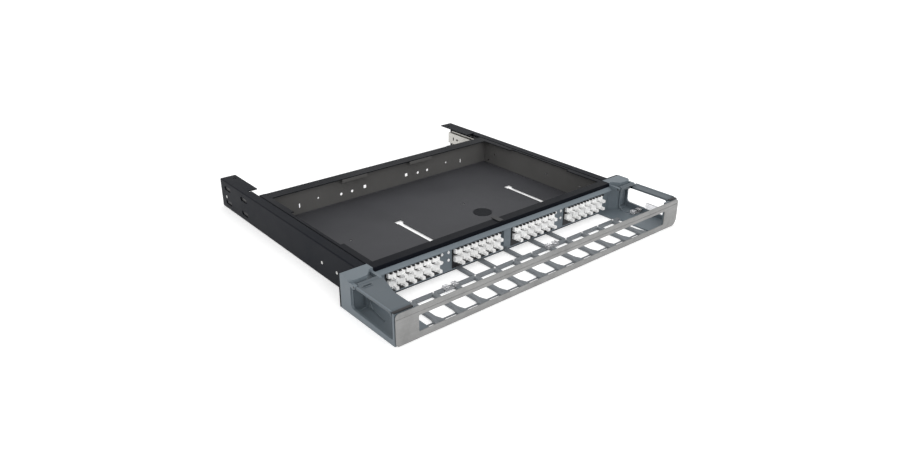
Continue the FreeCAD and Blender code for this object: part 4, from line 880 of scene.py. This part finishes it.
def tube(name, points, radius):
    """A closed round tube along the points."""
    line = bpy.data.curves.new(name, "CURVE")
    line.dimensions = "3D"
    line.bevel_depth = radius
    line.bevel_resolution = 3
    line.use_fill_caps = True
    spline = line.splines.new("POLY")
    spline.points.add(len(points) - 1)
    for knot, point in zip(spline.points, points):
        knot.co = (*point, 1)
    pick(linked(name, line))
    bpy.ops.object.convert(target="MESH")
    bpy.ops.object.shade_smooth_by_angle(angle=math.radians(50))
    return bpy.context.object


class AddGuideRidges(bpy.types.Operator):
    """Ridge down the face of each column that bends forward onto the guide's floor"""
    bl_idname = "drawer.add_guide_ridges"
    bl_label = "Add guide ridges"

    def execute(self, context):
        sizes = context.scene.drawer_sizes
        for side, way in (("left", -1), ("right", 1)):
            low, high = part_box(side + "_end_guide")
            across = way * (max(abs(low.x), abs(high.x)) - sizes.ridge_inset)
            floor = low.z + sizes.guide_floor
            bend = sizes.ridge_bend
            points = [(across, -sizes.column_face, high.z - bend)]
            for step in range(9):
                angle = step * math.pi / 16
                points.append((across, -sizes.column_face - bend * (1 - math.cos(angle)),
                               floor + bend * (1 - math.sin(angle))))
            front = -sizes.column_face - sizes.ridge_reach
            points.append((across + way * sizes.ridge_turn, front, floor))
            ridge = tube(side + "_guide_ridge", points, sizes.ridge_radius)
            dress(ridge, bpy.data.materials["grey_moulding"])
        return {"FINISHED"}


def merged_copy(name, node):
    """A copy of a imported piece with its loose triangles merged."""
    piece = linked(name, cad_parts[node].data.copy())
    pick(piece)
    bpy.ops.object.mode_set(mode="EDIT")
    bpy.ops.mesh.select_all(action="SELECT")
    bpy.ops.mesh.remove_doubles(threshold=0.00001)
    bpy.ops.object.mode_set(mode="OBJECT")
    return piece


class AddDustCaps(bpy.types.Operator):
    """White dust caps, narrower, higher and further apart than the plain ones"""
    bl_idname = "drawer.add_dust_caps"
    bl_label = "Add dust caps"

    def execute(self, context):
        sizes = context.scene.drawer_sizes
        white = white_plastic("cap_white", context, 0.34)
        for number in GROUPS:
            node = "dust_caps_%d" % number
            low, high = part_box(node)
            middle = (low.x + high.x) / 2
            level = (low.z + high.z) / 2
            plain_half = (high.z - low.z - ADAPTER_ROWS) / 2
            upper_row = high.z - plain_half * sizes.cap_stretch
            caps = merged_copy("dust_cap_set_%d" % number, node)
            for point in caps.data.vertices:
                column = round((point.co.x - middle) / ADAPTER_PITCH - 0.5) + 0.5
                across = middle + column * ADAPTER_PITCH
                upper = point.co.z > level
                plain_height = level + (ADAPTER_ROWS if upper else -ADAPTER_ROWS) / 2
                height = upper_row if upper else upper_row - sizes.cap_row_pitch
                point.co.x = across + (point.co.x - across) * sizes.cap_narrow
                point.co.z = height + (point.co.z - plain_height) * sizes.cap_stretch
            dress(caps, white)
            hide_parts(node)
        return {"FINISHED"}


class AddRightArm(bpy.types.Operator):
    """Right gate arm, narrower than the left one in front of its hinge"""
    bl_idname = "drawer.add_right_arm"
    bl_label = "Add right arm"

    def execute(self, context):
        sizes = context.scene.drawer_sizes
        low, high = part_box("right_gate_arm")
        arm = merged_copy("right_gate_bar", "right_gate_arm")
        shoulder = high.y - sizes.hinge_clear
        cut_into_strips(arm, 1, (shoulder, shoulder - SHOULDER_LENGTH))
        for point in arm.data.vertices:
            if point.co.y < shoulder - SHOULDER_LENGTH / 2:
                point.co.x = max(point.co.x, high.x - sizes.right_arm_width)
        dress(arm, bpy.data.materials["arm_grey"], "right_gate")
        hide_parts("right_gate_arm")
        return {"FINISHED"}


class AddArmTips(bpy.types.Operator):
    """Black tips of the gate arms close behind the bezel, and the rims along the arms"""
    bl_idname = "drawer.add_arm_tips"
    bl_label = "Add arm tips"

    def execute(self, context):
        sizes = context.scene.drawer_sizes
        bezel_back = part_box("bezel")[1].y
        for side, way, width in (("left", -1, sizes.tip_width), ("right", 1, sizes.right_arm_width)):
            low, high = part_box(side + "_gate_arm")
            far = max(abs(low.x), abs(high.x))
            outer = way * (far - TIP_INSET)
            inner = outer - way * (width - TIP_NARROWING)
            top = high.z - TIP_DOWN
            tip = block(side + "_arm_tip",
                        (min(outer, inner), bezel_back + TIP_GAP, top - sizes.tip_height),
                        (max(outer, inner), low.y + TIP_OVERLAP, top))
            soften(tip, sizes.bezel_edge)
            dress(tip, bpy.data.materials["black_moulding"], side + "_gate")
            edge = way * (far - sizes.rim_radius)
            ends = [(edge, high.y - sizes.hinge_clear, top), (edge, low.y + RIM_SHORT, top)]
            rim = tube(side + "_arm_rim", ends, sizes.rim_radius)
            dress(rim, bpy.data.materials["grey_moulding"], side + "_gate")
        return {"FINISHED"}


class AddTeeth(bpy.types.Operator):
    """Slanted black teeth of the adapter blocks over the upper dust caps"""
    bl_idname = "drawer.add_teeth"
    bl_label = "Add teeth"

    def execute(self, context):
        sizes = context.scene.drawer_sizes
        for number in GROUPS:
            low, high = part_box("dust_caps_%d" % number)
            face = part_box("adapter_block_%d" % number)[0].y
            half = sizes.tooth_width / 2
            template = block("tooth", (-half, -sizes.tooth_reach, -sizes.tooth_cover),
                             (half, 0, sizes.tooth_rise))
            for point in template.data.vertices:
                if point.co.y < -sizes.tooth_reach / 2:
                    point.co.x += sizes.tooth_slant
            soften(template, sizes.tooth_edge)
            middle = (low.x + high.x) / 2
            places = [(middle + (step - (TEETH - 1) / 2) * sizes.tooth_pitch, face + OVERLAP, high.z)
                      for step in range(TEETH)]
            teeth = repeated(template, "block_teeth_%d" % number, places)
            dress(teeth, bpy.data.materials["black_moulding"])
        return {"FINISHED"}


class AddSnapRivets(bpy.types.Operator):
    """Domed snap rivets on the separators of the panel"""
    bl_idname = "drawer.add_snap_rivets"
    bl_label = "Add snap rivets"

    def execute(self, context):
        sizes = context.scene.drawer_sizes
        template = domed_head("snap_rivet", sizes.rivet_radius, sizes.rivet_height)
        low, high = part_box("panel_snap_rivets")
        front = low.y + sizes.rivet_height
        top = high.z - sizes.rivet_radius
        across = high.x - sizes.rivet_radius
        between = 2 * (across - SEPARATOR_ACROSS)
        places = [(side * (across - step * between), front, top - drop)
                  for side in (-1, 1) for step in (0, 1) for drop in RIVET_DROPS]
        rivets = repeated(template, "snap_rivet_heads", places, (math.pi / 2, 0, 0))
        material = white_plastic("rivet_white", context)
        dress(rivets, material)
        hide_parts("panel_snap_rivets")
        return {"FINISHED"}


class AddScrews(bpy.types.Operator):
    """Cross recessed screws behind the front sheet"""
    bl_idname = "drawer.add_screws"
    bl_label = "Add screws"

    def execute(self, context):
        sizes = context.scene.drawer_sizes
        material = bpy.data.materials["bright_steel"]
        rows = {
            "tray_front_screws": [(x, 0) for x in TRAY_SCREWS],
            "end_guide_screws": [(x, rise) for x in GUIDE_SCREWS for rise in GUIDE_SCREW_ROWS],
        }
        radius = sizes.screw_radius
        height = sizes.screw_height
        for node, spots in rows.items():
            low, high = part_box(node)
            template = domed_head(node + "_head", radius, height, 24)
            cross_recess(template, sizes.recess_width, radius * 1.2, height * 0.45, height * 1.1)
            places = [(x, high.y - height, low.z + radius + rise) for x, rise in spots]
            screws = repeated(template, node + "_heads", places, (-math.pi / 2, 0, 0))
            dress(screws, material)
            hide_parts(node)
        return {"FINISHED"}


class AddSleeves(bpy.types.Operator):
    """Ceramic sleeves in the rear cavities of the adapters"""
    bl_idname = "drawer.add_sleeves"
    bl_label = "Add sleeves"

    def execute(self, context):
        sizes = context.scene.drawer_sizes
        material = moulded("ceramic", context.scene.drawer_colours.ceramic, 0.2, 3000.0, CERAMIC_DEPTH)
        for number in GROUPS:
            low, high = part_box("lc_adapters_%d" % number)
            template = start_cylinder("sleeve", sizes.sleeve_radius, sizes.sleeve_length, 12)
            choose_top(template)
            bpy.ops.mesh.inset(thickness=sizes.sleeve_wall)
            bpy.ops.mesh.extrude_region_move(
                TRANSFORM_OT_translate={"value": (0, 0, -sizes.sleeve_length * 0.8)})
            bpy.ops.object.mode_set(mode="OBJECT")
            middle = (low.x + high.x) / 2
            level = (low.z + high.z) / 2
            columns = [middle + (step - (ADAPTERS_ACROSS - 1) / 2) * ADAPTER_PITCH
                       for step in range(ADAPTERS_ACROSS)]
            places = [(column + port * PORT_ACROSS, high.y - PORT_BACK, level + row * ADAPTER_ROWS / 2)
                      for column in columns for port in (-1, 1) for row in (-1, 1)]
            sleeves = repeated(template, "sleeves_%d" % number, places, (-math.pi / 2, 0, 0))
            dress(sleeves, material)
        return {"FINISHED"}


def lit_floor():
    """Pale floor that shows white where it is lit and keeps the drawer's shadow."""
    material, tree, shader = new_material("studio_floor", Roughness=0.9, Specular_IOR_Level=0)
    grain = noise(tree, object_place(tree), 900, 2)
    tree.links.new(mixed(tree, grain, (0.9, 0.9, 0.9, 1), (0.94, 0.94, 0.94, 1)), shader.inputs["Base Color"])
    rays = tree.nodes.new("ShaderNodeLightPath")
    seen = calculated(tree, "MAXIMUM", rays.outputs["Is Camera Ray"], rays.outputs["Is Glossy Ray"])
    seen = calculated(tree, "MAXIMUM", seen, rays.outputs["Is Transmission Ray"])
    glow = tree.nodes.new("ShaderNodeEmission")
    tree.links.new(calculated(tree, "MULTIPLY", seen, 0.35), glow.inputs["Strength"])
    total = tree.nodes.new("ShaderNodeAddShader")
    tree.links.new(shader.outputs[0], total.inputs[0])
    tree.links.new(glow.outputs[0], total.inputs[1])
    tree.links.new(total.outputs[0], tree.nodes["Material Output"].inputs["Surface"])
    return material


class SetStage(bpy.types.Operator):
    """Floor, world, lamps and the camera at the photograph's angle"""
    bl_idname = "drawer.set_stage"
    bl_label = "Set stage"

    def execute(self, context):
        bpy.ops.object.select_all(action="DESELECT")
        bpy.ops.mesh.primitive_plane_add(size=30, location=(0, 0, CAD_BOX[0][2] - FLOOR_GAP))
        floor = bpy.context.object
        floor.name = "studio_floor"
        floor.data.materials.append(lit_floor())
        self.light_world()
        self.add_lamp("overhead", (0.1, 0.0, 1.8), (0, 0.1, 0), size=2.2, power=4.0)
        self.add_lamp("front_left", (-1.5, -1.2, 1.1), (0, 0, 0), size=1.2, power=3.5)
        self.add_lamp("front", (-0.2, -1.9, 0.8), (0, 0, 0), size=1.4, power=11.0)
        self.add_camera(context)
        context.scene.view_settings.view_transform = "Standard"
        return {"FINISHED"}

    def light_world(self):
        """Even light from all round, which camera and mirror rays see as white."""
        world = bpy.data.worlds.new("studio")
        world.use_nodes = True
        bpy.context.scene.world = world
        tree = world.node_tree
        background = tree.nodes["Background"]
        background.inputs["Color"].default_value = (1, 1, 1, 1)
        rays = tree.nodes.new("ShaderNodeLightPath")
        seen = calculated(tree, "MAXIMUM", rays.outputs["Is Camera Ray"], rays.outputs["Is Transmission Ray"])
        mirrored = calculated(tree, "MULTIPLY", rays.outputs["Is Glossy Ray"], 0.5)
        seen = calculated(tree, "MAXIMUM", seen, mirrored)
        tree.links.new(ranged(tree, seen, 0, 1, 0.82, 1), background.inputs["Strength"])

    def add_lamp(self, name, place, target, size, power):
        """A square soft box aimed at the target."""
        lamp = bpy.data.lights.new(name, "AREA")
        lamp.size = size
        lamp.energy = power
        holder = bpy.data.objects.new(name, lamp)
        holder.location = place
        holder.rotation_euler = (Vector(target) - Vector(place)).to_track_quat("-Z", "Y").to_euler()
        bpy.context.scene.collection.objects.link(holder)

    def add_camera(self, context):
        """The camera of the photograph."""
        camera = bpy.data.objects.new("camera", bpy.data.cameras.new("camera"))
        camera.data.lens = CAMERA_LENS
        camera.data.sensor_width = CAMERA_SENSOR
        camera.location = CAMERA_PLACE
        back = Vector((math.sin(CAMERA_TURN) * math.cos(CAMERA_PITCH),
                       -math.cos(CAMERA_TURN) * math.cos(CAMERA_PITCH), math.sin(CAMERA_PITCH)))
        camera.rotation_euler = back.to_track_quat("Z", "Y").to_euler()
        context.scene.collection.objects.link(camera)
        context.scene.camera = camera


PIECE_OPERATORS = (FinishBrackets, FinishSlides, FinishTray, FinishMouldings, FinishAdapters,
                   FinishClearParts, AddBezel, AddLattice, AddLatticePins, AddGuideRidges, AddRightArm,
                   AddArmTips, AddDustCaps, AddTeeth, AddSnapRivets, AddScrews, AddSleeves, SetStage)


class DrawerPanel(bpy.types.Panel):
    """Finishes and fittings of the patch drawer"""
    bl_idname = "VIEW3D_PT_patch_drawer"
    bl_label = "Patch drawer"
    bl_space_type = "VIEW_3D"
    bl_region_type = "UI"
    bl_category = "Drawer"

    def draw(self, context):
        layout = self.layout
        for group in (context.scene.drawer_colours, context.scene.drawer_sizes):
            for label in group.__annotations__:
                layout.prop(group, label)
        for operator in PIECE_OPERATORS:
            layout.operator(operator.bl_idname)


CLASSES = (DrawerColours, DrawerSizes) + PIECE_OPERATORS + (DrawerPanel,)


def register():
    """Registers the classes and the scene's settings."""
    for item in CLASSES:
        bpy.utils.register_class(item)
    bpy.types.Scene.drawer_colours = bpy.props.PointerProperty(type=DrawerColours)
    bpy.types.Scene.drawer_sizes = bpy.props.PointerProperty(type=DrawerSizes)


def unregister():
    """Takes the settings and the classes away again."""
    del bpy.types.Scene.drawer_sizes
    del bpy.types.Scene.drawer_colours
    for item in reversed(CLASSES):
        bpy.utils.unregister_class(item)


def main():
    """Builds the look of the drawer, piece by piece."""
    register()
    for operator in PIECE_OPERATORS:
        group, name = operator.bl_idname.split(".")
        getattr(getattr(bpy.ops, group), name)()


if __name__ == "__main__":
    main()
